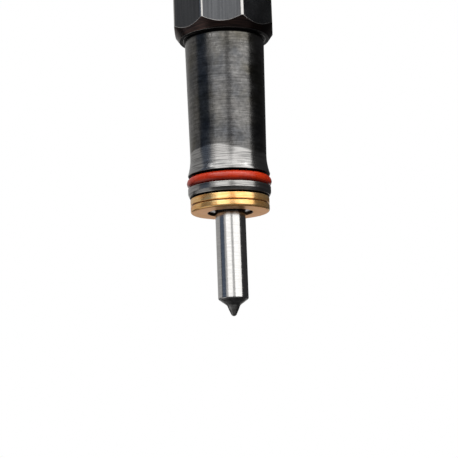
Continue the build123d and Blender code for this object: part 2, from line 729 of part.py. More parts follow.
with BuildPart() as coil_bobbin:
    revolve(
        section(
            (COIL_SLOT_R[0] + SLIP, BOBBIN_Z[0]),
            (COIL_SLOT_R[1] - SLIP, BOBBIN_Z[0]),
            (COIL_SLOT_R[1] - SLIP, BOBBIN_Z[0] + 0.6),
            (COIL_SLOT_R[0] + 0.6, BOBBIN_Z[0] + 0.6),
            (COIL_SLOT_R[0] + 0.6, BOBBIN_Z[1] - 0.6),
            (COIL_SLOT_R[1] - SLIP, BOBBIN_Z[1] - 0.6),
            (COIL_SLOT_R[1] - SLIP, BOBBIN_Z[1]),
            (COIL_SLOT_R[0] + SLIP, BOBBIN_Z[1]),
        ),
        axis=Axis.Z,
    )
save(coil_bobbin, "coil_bobbin")

with BuildPart() as coil_winding:
    with BuildSketch(Plane.XY.offset(BOBBIN_Z[0] + 0.6)):
        Circle(COIL_SLOT_R[1] - 0.2)
        Circle(COIL_SLOT_R[0] + 0.6, mode=Mode.SUBTRACT)
    extrude(amount=BOBBIN_Z[1] - BOBBIN_Z[0] - 1.2)
save(coil_winding, "coil_winding")

with BuildPart() as valve_spring:
    with BuildLine() as coil:
        add(spring_path(VALVE_SPRING, CLIP_Z[1], SPRING_SHIM_Z))
    with BuildSketch(Plane(origin=coil.line @ 0, z_dir=coil.line % 0)):
        Circle(VALVE_SPRING[1])
    sweep(path=coil.line, is_frenet=True)
save(valve_spring, "valve_spring")

with BuildPart() as spring_force_shim:
    with BuildSketch(Plane.XY.offset(SPRING_SHIM_Z)):
        Circle(MAGNET_BORE_R - 0.1)
        Circle(RETURN_BORE_R, mode=Mode.SUBTRACT)
    extrude(amount=MAGNET_TOP_Z - SPRING_SHIM_Z)
save(spring_force_shim, "spring_force_shim")

RING_GROOVE_HALF = CAP_RING_SECTION_R + 0.05

with BuildPart() as solenoid_sleeve:
    revolve(
        section(
            (MAGNET_R + SLIP, BODY_TOP_Z),
            (CAP_RING_R - RING_GROOVE_HALF, BODY_TOP_Z),
            (CAP_RING_R - RING_GROOVE_HALF, BODY_TOP_Z + 2 * CAP_RING_SECTION_R),
            (CAP_RING_R + RING_GROOVE_HALF, BODY_TOP_Z + 2 * CAP_RING_SECTION_R),
            (CAP_RING_R + RING_GROOVE_HALF, BODY_TOP_Z),
            (SLEEVE_FLANGE_R, BODY_TOP_Z),
            (SLEEVE_FLANGE_R, SLEEVE_FLANGE_TOP_Z),
            (SLEEVE_R, SLEEVE_FLANGE_TOP_Z),
            (SLEEVE_R, SLEEVE_TOP_Z - 0.5),
            (SLEEVE_R - 0.5, SLEEVE_TOP_Z),
            (RETURN_BORE_R, SLEEVE_TOP_Z),
            (RETURN_BORE_R, MAGNET_TOP_Z),
            (MAGNET_R + SLIP, MAGNET_TOP_Z),
        ),
        axis=Axis.Z,
    )
    with BuildSketch(Plane.XY.offset(MAGNET_TOP_Z)):
        with Locations((LEG_X, BLADE_Y), (LEG_X, -BLADE_Y)):
            Circle(LEG_HOLE_R)
    extrude(amount=SLEEVE_TOP_Z - MAGNET_TOP_Z, mode=Mode.SUBTRACT)
save(solenoid_sleeve, "solenoid_sleeve")

with BuildPart() as solenoid_o_ring:
    revolve(ring_section(CAP_RING_R, CAP_RING_SECTION_R, BODY_TOP_Z + CAP_RING_SECTION_R), axis=Axis.Z)
save(solenoid_o_ring, "solenoid_o_ring")

CAP_CORNER_R = corner_radius(CAP_ACROSS, 6)
CAP_HEX_LOW_Z = CAP_Z[0] + 3.0

with BuildPart() as solenoid_nut:
    revolve(
        section(
            (CAP_THREAD_R + 0.4, CAP_Z[0]),
            (CAP_SKIRT_R - 0.4, CAP_Z[0]),
            (CAP_SKIRT_R, CAP_Z[0] + 0.4),
            (CAP_SKIRT_R, CAP_HEX_LOW_Z),
            (CAP_ACROSS / 2 - 0.2, CAP_HEX_LOW_Z),
            (CAP_CORNER_R, CAP_HEX_LOW_Z + 1.5),
            (CAP_CORNER_R, CAP_Z[1] - 1.5),
            (CAP_ACROSS / 2 - 0.2, CAP_Z[1]),
            (SLEEVE_R + 0.2, CAP_Z[1]),
            (SLEEVE_R + 0.2, SLEEVE_FLANGE_TOP_Z),
            (CAP_THREAD_R, SLEEVE_FLANGE_TOP_Z),
            (CAP_THREAD_R, CAP_Z[0] + 0.4),
        ),
        axis=Axis.Z,
    )
    waste = outside_polygon(CAP_ACROSS, 6)
    extrude(Plane.XY.offset(CAP_Z[0]) * waste, CAP_Z[1] - CAP_Z[0], mode=Mode.SUBTRACT)
save(solenoid_nut, "solenoid_nut")

# ---------------------------------------------------------------- electrical connector

SOCKET_PLANE = Plane(origin=(0, 0, SOCKET_Z), x_dir=(0, -1, 0), z_dir=(-1, 0, 0))
SOCKET_TOP_Z = SOCKET_Z + SOCKET_OUTSIDE[1] / 2
BLADE_LOW_Z = SOCKET_Z - BLADE_THICK / 2

with BuildPart() as connector_housing:
    revolve(
        section(
            (0, HOUSING_Z[0]),
            (HOUSING_R - 0.4, HOUSING_Z[0]),
            (HOUSING_R, HOUSING_Z[0] + 0.4),
            (HOUSING_R, SLEEVE_TOP_Z + 2),
            (HOUSING_R - 1.2, HOUSING_Z[1] - 1.5),
            (HOUSING_R - 2.7, HOUSING_Z[1]),
            (0, HOUSING_Z[1]),
        ),
        axis=Axis.Z,
    )
    top_rims = connector_housing.edges().filter_by(GeomType.CIRCLE).group_by(Axis.Z)[-2:]
    fillet(top_rims[0] + top_rims[1], 1.0)
    with BuildSketch(SOCKET_PLANE):
        RectangleRounded(*SOCKET_OUTSIDE, SOCKET_CORNER_R)
    extrude(amount=-SOCKET_END_X)
    mouth = connector_housing.faces().sort_by(Axis.X)[0].edges()
    fillet(mouth, 0.5)
    with BuildSketch(SOCKET_PLANE.offset(-COLLAR_X[1])):
        RectangleRounded(
            SOCKET_OUTSIDE[0] + 2 * COLLAR_STEP,
            SOCKET_OUTSIDE[1] + 2 * COLLAR_STEP,
            SOCKET_CORNER_R + COLLAR_STEP,
        )
    extrude(amount=COLLAR_X[1] - COLLAR_X[0])
    collar_sides = connector_housing.faces().filter_by_position(Axis.X, *COLLAR_X)
    fillet(collar_sides.edges().filter_by(Axis.X, reverse=True), 0.3)
    with BuildSketch(Plane.XZ):
        with BuildLine():
            Polyline(
                (LATCH_X[1], SOCKET_TOP_Z - 0.5),
                (LATCH_X[1], SOCKET_TOP_Z + LATCH_STEP),
                (LATCH_X[0] + 0.5, SOCKET_TOP_Z + LATCH_STEP),
                (LATCH_X[0], SOCKET_TOP_Z),
                (LATCH_X[0], SOCKET_TOP_Z - 0.5),
                close=True,
            )
        make_face()
    extrude(amount=LATCH_HALF, both=True)
    with BuildSketch(SOCKET_PLANE.offset(-SOCKET_FLOOR_X)):
        RectangleRounded(*SOCKET_INSIDE, SOCKET_CORNER_R - 1.2)
    extrude(amount=SOCKET_FLOOR_X - SOCKET_END_X, mode=Mode.SUBTRACT)
    inner_rim = connector_housing.faces().sort_by(Axis.X)[0].inner_wires()[0].edges()
    chamfer(inner_rim, 0.4)
    revolve(
        section(
            (0, HOUSING_Z[0]),
            (SLEEVE_R, HOUSING_Z[0]),
            (SLEEVE_R, SLEEVE_TOP_Z),
            (RETURN_FLANGE_R, SLEEVE_TOP_Z),
            (RETURN_FLANGE_R, RETURN_FLANGE_TOP_Z),
            (RETURN_R, RETURN_FLANGE_TOP_Z),
            (RETURN_R, HOUSING_Z[1]),
            (0, HOUSING_Z[1]),
        ),
        axis=Axis.Z,
        mode=Mode.SUBTRACT,
    )
    with BuildSketch(Plane.XY.offset(SLEEVE_TOP_Z)):
        with Locations((LEG_X, BLADE_Y), (LEG_X, -BLADE_Y)):
            Circle(LEG_R)
    extrude(amount=SOCKET_Z - SLEEVE_TOP_Z, mode=Mode.SUBTRACT)
    with BuildSketch(Plane.XY.offset(BLADE_LOW_Z)):
        with Locations((sum(BLADE_X) / 2, BLADE_Y), (sum(BLADE_X) / 2, -BLADE_Y)):
            Rectangle(BLADE_X[1] - BLADE_X[0], BLADE_WIDTH)
    extrude(amount=BLADE_THICK, mode=Mode.SUBTRACT)
save(connector_housing, "connector_housing")

with BuildPart() as connector_terminals:
    with BuildSketch(Plane.XY.offset(COIL_SLOT_TOP_Z)):
        with Locations((LEG_X, BLADE_Y), (LEG_X, -BLADE_Y)):
            Circle(LEG_R)
    extrude(amount=SOCKET_Z - COIL_SLOT_TOP_Z)
    with BuildSketch(Plane.XY.offset(BLADE_LOW_Z)):
        with Locations((sum(BLADE_X) / 2, BLADE_Y), (sum(BLADE_X) / 2, -BLADE_Y)):
            Rectangle(BLADE_X[1] - BLADE_X[0], BLADE_WIDTH)
    extrude(amount=BLADE_THICK)
    points = connector_terminals.edges().group_by(Axis.X)[0].filter_by(Axis.Z)
    chamfer(points, 0.5)
save(connector_terminals, "connector_terminals")

# ---------------------------------------------------------------- fuel return and high-pressure inlet

with BuildPart() as return_stub:
    revolve(
        section(
            (RETURN_BORE_R, SLEEVE_TOP_Z),
            (RETURN_FLANGE_R, SLEEVE_TOP_Z),
            (RETURN_FLANGE_R, RETURN_FLANGE_TOP_Z),
            (RETURN_R, RETURN_FLANGE_TOP_Z),
            (RETURN_R, RETURN_GROOVE_Z[0]),
            (RETURN_R - RETURN_GROOVE_DEPTH, RETURN_GROOVE_Z[0] + 0.2),
            (RETURN_R - RETURN_GROOVE_DEPTH, RETURN_GROOVE_Z[1] - 0.2),
            (RETURN_R, RETURN_GROOVE_Z[1]),
            (RETURN_R, RETURN_TOP_Z - 0.8),
            (RETURN_R - 0.6, RETURN_TOP_Z),
            (RETURN_BORE_R + 0.4, RETURN_TOP_Z),
            (RETURN_BORE_R, RETURN_TOP_Z - 0.4),
        ),
        axis=Axis.Z,
    )
save(return_stub, "return_stub")

CONE_MOUTH_R = 4.0
CONE_DEPTH = (CONE_MOUTH_R - INLET_BORE_R) / tan(radians(30))
INLET_CORNER_R = corner_radius(INLET_ACROSS, 6)
INLET_AXIS = Axis((0, 0, INLET_Z), (1, 0, 0))
INLET_OUTLINE = (
    (SPIGOT_X, CROSS_BORE_R),
    (SPIGOT_X, SPIGOT_R - 0.7),
    (SPIGOT_X + 0.7, SPIGOT_R),
    (BOSS_END_X - 0.8, SPIGOT_R),
    (BOSS_END_X - 0.8, SPIGOT_R - 0.7),
    (BOSS_END_X, SPIGOT_R - 0.7),
    (BOSS_END_X, INLET_ACROSS / 2 - 0.2),
    (BOSS_END_X + 0.9, INLET_CORNER_R),
    (INLET_HEX_END_X - 0.9, INLET_CORNER_R),
    (INLET_HEX_END_X, INLET_ACROSS / 2 - 0.2),
    (INLET_HEX_END_X, INLET_THREAD_R - 1.1),
    (INLET_HEX_END_X + 1.6, INLET_THREAD_R - 1.1),
    (INLET_HEX_END_X + 2.2, INLET_THREAD_R),
    (INLET_END_X - 0.8, INLET_THREAD_R),
    (INLET_END_X, INLET_THREAD_R - 0.8),
    (INLET_END_X, CONE_MOUTH_R),
    (INLET_END_X - CONE_DEPTH, INLET_BORE_R),
    (FILTER_X[0], INLET_BORE_R),
    (FILTER_X[0], CROSS_BORE_R),
)

with BuildPart() as inlet_connector:
    with BuildSketch(Plane.XZ):
        with BuildLine():
            Polyline(*[(x, INLET_Z + r) for x, r in INLET_OUTLINE], close=True)
        make_face()
    revolve(axis=INLET_AXIS)
    waste = outside_polygon(INLET_ACROSS, 6)
    extrude(
        INLET_PLANE.offset(BOSS_END_X) * waste,
        INLET_HEX_END_X - BOSS_END_X,
        mode=Mode.SUBTRACT,
    )
save(inlet_connector, "inlet_connector")

with BuildPart() as edge_filter:
    with BuildSketch(INLET_PLANE.offset(FILTER_X[0])):
        Circle(INLET_BORE_R - 0.02)
    extrude(amount=FILTER_X[1] - FILTER_X[0])
    for start_x, count_start in ((FILTER_X[0], 0), (FILTER_X[0] + 0.8, 180 / FILTER_FLUTES)):
        with BuildSketch(INLET_PLANE.offset(start_x)):
            with PolarLocations(INLET_BORE_R, FILTER_FLUTES, start_angle=count_start):
                Circle(FILTER_FLUTE_R)
        extrude(amount=FILTER_X[1] - FILTER_X[0] - 0.8, mode=Mode.SUBTRACT)
save(edge_filter, "edge_filter")
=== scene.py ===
"""The looks of a common-rail diesel fuel injector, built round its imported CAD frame."""
import json
from math import asin, atan2, cos, hypot, pi, radians, sin, sqrt, tan

import bmesh
import bpy
from mathutils import Matrix, Vector


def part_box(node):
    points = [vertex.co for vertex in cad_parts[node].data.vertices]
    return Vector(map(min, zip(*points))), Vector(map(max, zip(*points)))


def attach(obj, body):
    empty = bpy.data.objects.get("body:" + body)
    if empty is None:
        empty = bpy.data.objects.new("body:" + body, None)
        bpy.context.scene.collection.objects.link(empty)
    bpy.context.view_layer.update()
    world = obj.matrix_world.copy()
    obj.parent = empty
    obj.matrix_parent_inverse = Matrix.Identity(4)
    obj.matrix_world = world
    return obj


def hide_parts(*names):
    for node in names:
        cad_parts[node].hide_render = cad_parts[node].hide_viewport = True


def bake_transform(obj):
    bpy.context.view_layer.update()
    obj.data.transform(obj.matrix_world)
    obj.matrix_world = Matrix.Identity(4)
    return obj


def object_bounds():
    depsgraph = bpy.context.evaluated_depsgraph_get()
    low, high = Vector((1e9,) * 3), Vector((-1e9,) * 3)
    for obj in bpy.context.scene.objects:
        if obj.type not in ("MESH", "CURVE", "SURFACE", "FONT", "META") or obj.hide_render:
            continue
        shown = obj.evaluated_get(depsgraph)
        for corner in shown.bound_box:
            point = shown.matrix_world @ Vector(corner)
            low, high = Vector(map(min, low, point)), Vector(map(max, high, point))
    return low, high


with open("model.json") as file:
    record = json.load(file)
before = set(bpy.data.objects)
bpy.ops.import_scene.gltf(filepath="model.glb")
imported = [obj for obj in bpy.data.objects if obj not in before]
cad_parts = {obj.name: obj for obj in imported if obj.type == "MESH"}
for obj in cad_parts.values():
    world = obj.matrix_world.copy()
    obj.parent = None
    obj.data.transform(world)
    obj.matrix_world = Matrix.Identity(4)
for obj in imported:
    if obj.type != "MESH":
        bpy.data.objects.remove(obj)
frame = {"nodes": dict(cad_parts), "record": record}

CAD_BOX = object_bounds()
NODES = frame["nodes"]
SLOTS = {row["node"]: row["material_slot"] for row in frame["record"]["subparts"]}
MM = 0.001

# ---------------------------------------------------------------- camera

SENSOR_MM = 36.0
LENS_MM = 108.76
VIEW_DISTANCE = 0.320  # metres from the middle of the seat plane, along the line of sight
VIEW_FROM_BELOW = radians(9.7)
VIEW_ROLL = radians(2.05)
SEAT_RIGHT = 0.00032  # metres from the picture's middle to the middle of the seat plane
SEAT_UP = 0.00372


def make_camera():
    """A camera on the -Y side that looks up at the injector, turned a little about its line of sight."""
    data = bpy.data.cameras.new("camera")
    data.sensor_width = SENSOR_MM
    data.lens = LENS_MM
    data.clip_start = 0.01
    data.clip_end = 20
    level_right = Vector((1, 0, 0))
    level_up = Vector((0, -sin(VIEW_FROM_BELOW), cos(VIEW_FROM_BELOW)))
    ahead = Vector((0, cos(VIEW_FROM_BELOW), sin(VIEW_FROM_BELOW)))
    right = level_right * cos(VIEW_ROLL) - level_up * sin(VIEW_ROLL)
    up = level_up * cos(VIEW_ROLL) + level_right * sin(VIEW_ROLL)
    place = -(right * SEAT_RIGHT + up * SEAT_UP + ahead * VIEW_DISTANCE)
    camera = bpy.data.objects.new("camera", data)
    bpy.context.scene.collection.objects.link(camera)
    camera.matrix_world = Matrix.Translation(place) @ Matrix((right, up, -ahead)).transposed().to_4x4()
    bpy.context.scene.camera = camera


# ---------------------------------------------------------------- light

LIGHT_TARGET = Vector((0, 0, 0.03))
LIGHT_DISTANCE = 0.8
SOFT_WHITE = (1.0, 0.99, 0.97)
SHADOW_BLUE = (0.45, 0.65, 1.0)


def make_panel(name, azimuths, elevations, radiance, color=SOFT_WHITE):
    """A soft rectangular light that the camera doesn't see, as wide and high as two pairs of degrees say.

    Azimuth 0 is the camera's side and 90 is +X."""
    turn = radians(sum(azimuths) / 2)
    lift = radians(sum(elevations) / 2)
    data = bpy.data.lights.new(name, "AREA")
    data.shape = "RECTANGLE"
    data.size = 2 * LIGHT_DISTANCE * tan(radians(azimuths[1] - azimuths[0]) / 2)
    data.size_y = 2 * LIGHT_DISTANCE * tan(radians(elevations[1] - elevations[0]) / 2)
    data.energy = radiance * pi * data.size * data.size_y
    data.color = color
    toward = Vector((sin(turn) * cos(lift), -cos(turn) * cos(lift), sin(lift)))
    light = bpy.data.objects.new(name, data)
    bpy.context.scene.collection.objects.link(light)
    light.location = LIGHT_TARGET + toward * LIGHT_DISTANCE
    light.rotation_euler = toward.to_track_quat("Z", "Y").to_euler()
    light.visible_camera = False


def make_world():
    """White behind the object, and a dim bluish room where nothing else lights it."""
    world = bpy.data.worlds.new("studio")
    world.use_nodes = True
    tree = world.node_tree
    tree.nodes.clear()
    out = tree.nodes.new("ShaderNodeOutputWorld")
    seen = tree.nodes.new("ShaderNodeBackground")
    seen.inputs["Color"].default_value = (1, 1, 1, 1)
    felt = tree.nodes.new("ShaderNodeBackground")
    felt.inputs["Color"].default_value = (0.97, 0.97, 1.0, 1)
    felt.inputs["Strength"].default_value = 0.04
    path = tree.nodes.new("ShaderNodeLightPath")
    mix = tree.nodes.new("ShaderNodeMixShader")
    tree.links.new(path.outputs["Is Camera Ray"], mix.inputs["Fac"])
    tree.links.new(felt.outputs[0], mix.inputs[1])
    tree.links.new(seen.outputs[0], mix.inputs[2])
    tree.links.new(mix.outputs[0], out.inputs["Surface"])
    bpy.context.scene.world = world


make_camera()
make_world()
make_panel("front_edge_panel", (-53, -38), (-10, 50), 0.62)
make_panel("front_left_panel", (-38, 0), (-10, 50), 1.6)
make_panel("front_middle_panel", (0, 16), (-10, 50), 0.6)
make_panel("front_right_panel", (16, 71), (-10, 50), 1.75)
make_panel("high_front_panel", (-45, 45), (52, 68), 3.0)
make_panel("left_fill", (-87, -53), (-10, 40), 0.13, SHADOW_BLUE)
make_panel("rear_left_panel", (-180, -92), (-10, 50), 0.42)
make_panel("low_front_panel", (-55, 55), (-75, -35), 0.13)
make_panel("low_left_panel", (-115, -62), (-60, -15), 0.5)
make_panel("backdrop_glow", (155, 205), (-40, -3), 0.66)
make_panel("overhead_panel", (-35, 35), (55, 120), 1.3)
bpy.context.scene.view_settings.view_transform = "Standard"

# ---------------------------------------------------------------- material graphs


class Graph:
    """A material's nodes, written as nested calls that return sockets."""

    def __init__(self, name, metallic=0.0):
        self.material = bpy.data.materials.new(name)
        self.material.use_nodes = True
        self.tree = self.material.node_tree
        self.shader = self.tree.nodes["Principled BSDF"]
        self.shader.inputs["Metallic"].default_value = metallic
        self.place = self.node("ShaderNodeTexCoord", "Object")
        self.x, self.y, self.z = self.apart(self.place)
        self.wear = self.node("ShaderNodeAttribute", "Fac", settings={"attribute_name": "wear"})
        self.milled = self.node("ShaderNodeAttribute", "Fac", settings={"attribute_name": "milled"})

    def node(self, kind, output, inputs=(), settings=()):
        """Adds a node with its settings and inputs, given by name or number, and returns one output."""
        made = self.tree.nodes.new(kind)
        for name, value in dict(settings).items():
            setattr(made, name, value)
        for name, value in dict(inputs).items():
            self.feed(made.inputs[name], value)
        return made.outputs[output]

    def feed(self, socket, value):
        """Links a socket to another, or sets its value."""
        if isinstance(value, bpy.types.NodeSocket):
            self.tree.links.new(value, socket)
        elif isinstance(value, tuple) and len(value) == 3 and socket.type == "RGBA":
            socket.default_value = (*value, 1.0)
        else:
            socket.default_value = value

    def apart(self, vector):
        """The three parts of a vector."""
        made = self.tree.nodes.new("ShaderNodeSeparateXYZ")
        self.tree.links.new(vector, made.inputs[0])
        return made.outputs

    def math(self, operation, *values):
        return self.node("ShaderNodeMath", 0, enumerate(values), {"operation": operation})

    def scaled(self, x, y, z):
        """The place on the object with each axis multiplied."""
        return self.node("ShaderNodeVectorMath", 0, {0: self.place, 1: (x, y, z)}, {"operation": "MULTIPLY"})

    def noise(self, scale, detail=3.0, roughness=0.55, vector=None):
        inputs = {"Vector": vector or self.place, "Scale": scale, "Detail": detail, "Roughness": roughness}
        return self.node("ShaderNodeTexNoise", 0, inputs)

    def lines(self, along, pitch, detail=2.0, wander=120.0):
        """Uneven lines across one coordinate, about a pitch apart, that break up sooner with more wander."""
        inputs = {"Vector": self.scaled(wander, wander, wander), "W": self.math("DIVIDE", along, pitch)}
        inputs |= {"Scale": 1.0, "Detail": detail}
        return self.node("ShaderNodeTexNoise", 0, inputs, {"noise_dimensions": "4D"})

    def step(self, value, start, end, low=0.0, high=1.0):
        """A smooth change from low to high while value goes from start to end."""
        inputs = {"Value": value, "From Min": start, "From Max": end, "To Min": low, "To Max": high}
        return self.node("ShaderNodeMapRange", 0, inputs, {"interpolation_type": "SMOOTHSTEP"})

    def blend(self, share, first, second, mode="MIX"):
        """Two colours mixed by a share."""
        settings = {"data_type": "RGBA", "blend_type": mode}
        return self.node("ShaderNodeMix", 2, {0: share, 6: first, 7: second}, settings)

    def bump(self, height, depth, under=None):
        """A relief of a depth in metres, on top of another one."""
        inputs = {"Height": height, "Distance": depth, "Strength": 1.0}
        if under:
            inputs["Normal"] = under
        return self.node("ShaderNodeBump", 0, inputs)

    def around(self, level=None):
        """How far a place is along plus away from the main axis, or from the inlet's axis at a level."""
        if level is None:
            first, second, along = self.x, self.y, self.z
        else:
            first, second, along = self.math("SUBTRACT", self.z, level), self.y, self.x
        squares = self.math("ADD", self.math("MULTIPLY", first, first), self.math("MULTIPLY", second, second))
        return self.math("ADD", self.math("SQRT", squares), along)

    def scratches(self, scale, share):
        """A few thin marks: 1 on them, 0 elsewhere."""
        warped = self.noise(scale, 2.0, 0.5, self.scaled(1.0, 1.0, 0.35))
        thin = self.step(self.math("ABSOLUTE", self.math("SUBTRACT", warped, 0.5)), 0.0, 0.006, 1.0, 0.0)
        return self.math("MULTIPLY", thin, self.step(self.noise(scale * 0.7), share, share + 0.05))

    def done(self, color, roughness, normal):
        self.feed(self.shader.inputs["Base Color"], color)
        self.feed(self.shader.inputs["Roughness"], roughness)
        self.feed(self.shader.inputs["Normal"], normal)
        return self.material


# ---------------------------------------------------------------- materials

BARE_STEEL = (0.50, 0.49, 0.48)
WORN_COLLAR_TOP = 13.9 * MM
RIM_GAP = (3.32 * MM, 3.67 * MM)
UNDERCUT_GAP = (41.0 * MM, 41.32 * MM)
BEVELS = (41.4 * MM, 56.5 * MM)
# the sooty tip starts above the nozzle's shoulder fillet, which puts painted shade on the fillet
TIP_TOP = -19.9 * MM
RING_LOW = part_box("nozzle_o_ring")[0][2]
RING_GAP = (RING_LOW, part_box("nozzle_o_ring")[1][2] + 0.4 * MM)
WASHER_BORE_R = 5.15
WASHER_MIDDLE = (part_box("sealing_washer")[0][2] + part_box("sealing_washer")[1][2]) / 2
WASHER_GROOVE_Z = (WASHER_MIDDLE - 0.06 * MM, WASHER_MIDDLE + 0.06 * MM)
INLET_LEVEL = (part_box("inlet_connector")[0][2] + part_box("inlet_connector")[1][2]) / 2


def worn_share(g, start=0.35, end=0.75):
    """Where edges have lost their coating, broken up by noise."""
    return g.step(g.math("ADD", g.wear, g.math("MULTIPLY", g.noise(900.0), 0.3)), start, end)


def near(g, low, high, soft):
    """1 at heights between low and high, 0 further away than soft."""
    off = g.math("ABSOLUTE", g.math("SUBTRACT", g.z, (low + high) / 2))
    return g.step(off, (high - low) / 2 + soft, (high - low) / 2)


def black_steel():
    """Black-oxide steel: turned lines, brighter bare metal at the worn collar and edges, painted shade with a
    rust-brown tone on the wrench bevels, and near-black painted shade in the gaps at the seat rim, undercut
    and ring groove.
    """
    g = Graph("black_steel", metallic=1.0)
    turned = g.around()
    coarse = g.lines(turned, 0.22 * MM, 3.0, 220.0)
    fine = g.lines(turned, 0.12 * MM, 2.0, 600.0)
    brushed = g.noise(1.0, 3.0, 0.6, g.scaled(2600.0, 2600.0, 90.0))
    patches = g.noise(150.0, 5.0, 0.6)
    specks = g.noise(1300.0, 3.0, 0.6)
    oxide = g.blend(g.step(g.noise(85.0), 0.42, 0.6), (0.074, 0.077, 0.083), (0.090, 0.085, 0.071))
    oxide = g.blend(g.step(patches, 0.35, 0.68), oxide, (0.140, 0.137, 0.134))
    oxide = g.blend(1.0, oxide, g.step(coarse, 0.32, 0.68, 0.70, 1.30), "MULTIPLY")
    oxide = g.blend(1.0, oxide, g.step(specks, 0.3, 0.7, 0.78, 1.22), "MULTIPLY")
    facet = g.blend(g.step(brushed, 0.3, 0.7), (0.070, 0.073, 0.079), (0.098, 0.101, 0.108))
    color = g.blend(g.milled, oxide, facet)
    edge = g.math("ADD", g.z, g.math("MULTIPLY", g.math("SUBTRACT", g.noise(120.0), 0.5), 1.8 * MM))
    edge = g.math("ADD", edge, g.step(g.x, -3.5 * MM, 6.0 * MM, -0.8 * MM, 1.0 * MM))
    edge = g.math("ADD", edge, g.step(g.x, -9.0 * MM, -4.0 * MM, 0.8 * MM, 0.0))
    collar = g.step(edge, WORN_COLLAR_TOP + 0.3 * MM, WORN_COLLAR_TOP - 0.2 * MM)
    bare = g.math("MULTIPLY", collar, g.step(coarse, 0.30, 0.62, 0.30, 1.0))
    color = g.blend(bare, color, (0.39, 0.385, 0.38))
    # painted shade with a rust-brown tone: the wrench bevels off the flats are darkened, near black to brown
    bevel_shade = g.math("MULTIPLY", near(g, *BEVELS, 0.1 * MM), g.math("SUBTRACT", 1.0, g.milled))
    rust_and_shade = g.blend(g.step(coarse, 0.35, 0.7), (0.020, 0.019, 0.020), (0.085, 0.050, 0.043))
    color = g.blend(bevel_shade, color, rust_and_shade)
    color = g.blend(worn_share(g), color, BARE_STEEL)
    color = g.blend(g.scratches(420.0, 0.66), color, (0.34, 0.34, 0.34))
    # painted shade: near black, and rougher, in the gaps at the seat rim, the undercut and the ring groove
    gap_shade = g.math("MAXIMUM", near(g, *RIM_GAP, 0.04 * MM), near(g, *UNDERCUT_GAP, 0.03 * MM))
    gap_shade = g.math("MAXIMUM", gap_shade, near(g, *RING_GAP, 0.04 * MM))
    color = g.blend(gap_shade, color, (0.006, 0.006, 0.007))
    roughness = g.math("ADD", g.step(patches, 0.3, 0.75, 0.17, 0.27), g.math("MULTIPLY", gap_shade, 0.4))
    relief = g.bump(g.blend(g.milled, coarse, brushed), 0.010 * MM)
    relief = g.bump(fine, 0.004 * MM, relief)
    relief = g.bump(specks, 0.006 * MM, relief)
    return g.done(color, roughness, relief)


def ground_steel():
    """Bright ground steel that turns dark and sooty at the spray tip; the dark reaches up over the shoulder
    fillet as painted shade.
    """
    g = Graph("ground_steel", metallic=1.0)
    ground = g.lines(g.around(), 0.22 * MM, 2.0, 300.0)
    wander = g.noise(1.0, 2.0, 0.5, g.scaled(700.0, 700.0, 40.0))
    color = g.blend(g.step(ground, 0.3, 0.7), (0.53, 0.53, 0.53), (0.68, 0.67, 0.66))
    color = g.blend(g.step(wander, 0.35, 0.75), color, (0.52, 0.515, 0.51))
    color = g.blend(g.scratches(620.0, 0.62), color, (0.14, 0.13, 0.12))
    # soot at the spray tip, carried up over the shoulder fillet as painted shade
    soot_and_shade = g.blend(g.step(g.noise(1100.0), 0.3, 0.7), (0.13, 0.128, 0.125), (0.30, 0.30, 0.30))
    edge = g.math("ADD", g.z, g.math("MULTIPLY", g.noise(700.0), 0.15 * MM))
    tip = g.step(edge, TIP_TOP, TIP_TOP - 0.12 * MM)
    color = g.blend(tip, color, soot_and_shade)
    roughness = g.math("ADD", g.step(ground, 0.3, 0.8, 0.12, 0.20), g.math("MULTIPLY", tip, 0.25))
    relief = g.bump(ground, 0.002 * MM)
    relief = g.bump(g.math("MULTIPLY", g.noise(2500.0), tip), 0.02 * MM, relief)
    return g.done(color, roughness, relief)


def brass():
    """Turned brass, duller and pinker on its flat lower face, with painted shade in its side groove and round
    its bore.
    """
    g = Graph("brass", metallic=0.85)
    turned = g.lines(g.around(), 0.20 * MM, 3.0, 250.0)
    tarnish = g.noise(260.0, 4.0)
    color = g.blend(g.step(turned, 0.3, 0.7), (0.98, 0.49, 0.14), (1.0, 0.73, 0.36))
    color = g.blend(g.step(tarnish, 0.45, 0.72, 0.0, 0.75), color, (0.88, 0.37, 0.10))
    face = g.step(g.z, 0.22 * MM, 0.05 * MM)
    color = g.blend(face, color, g.blend(g.step(tarnish, 0.3, 0.7), (0.80, 0.37, 0.11), (0.98, 0.52, 0.18)))
    # painted shade: dark brown in the washer's side groove
    groove_shade = near(g, *WASHER_GROOVE_Z, 0.12 * MM)
    color = g.blend(groove_shade, color, (0.20, 0.085, 0.02))
    # painted shade: dark brown on the bore wall and round the hole's edge
    off_axis = g.math("SUBTRACT", g.around(), g.z)
    bore_shade = g.step(off_axis, (WASHER_BORE_R + 0.25) * MM, (WASHER_BORE_R + 0.08) * MM)
    color = g.blend(bore_shade, color, (0.075, 0.036, 0.018))
    roughness = g.math("ADD", g.step(tarnish, 0.3, 0.8, 0.18, 0.30), g.math("MULTIPLY", face, 0.2))
    relief = g.bump(turned, 0.006 * MM)
    relief = g.bump(g.noise(1800.0, 2.0), 0.005 * MM, relief)
    return g.done(color, roughness, relief)


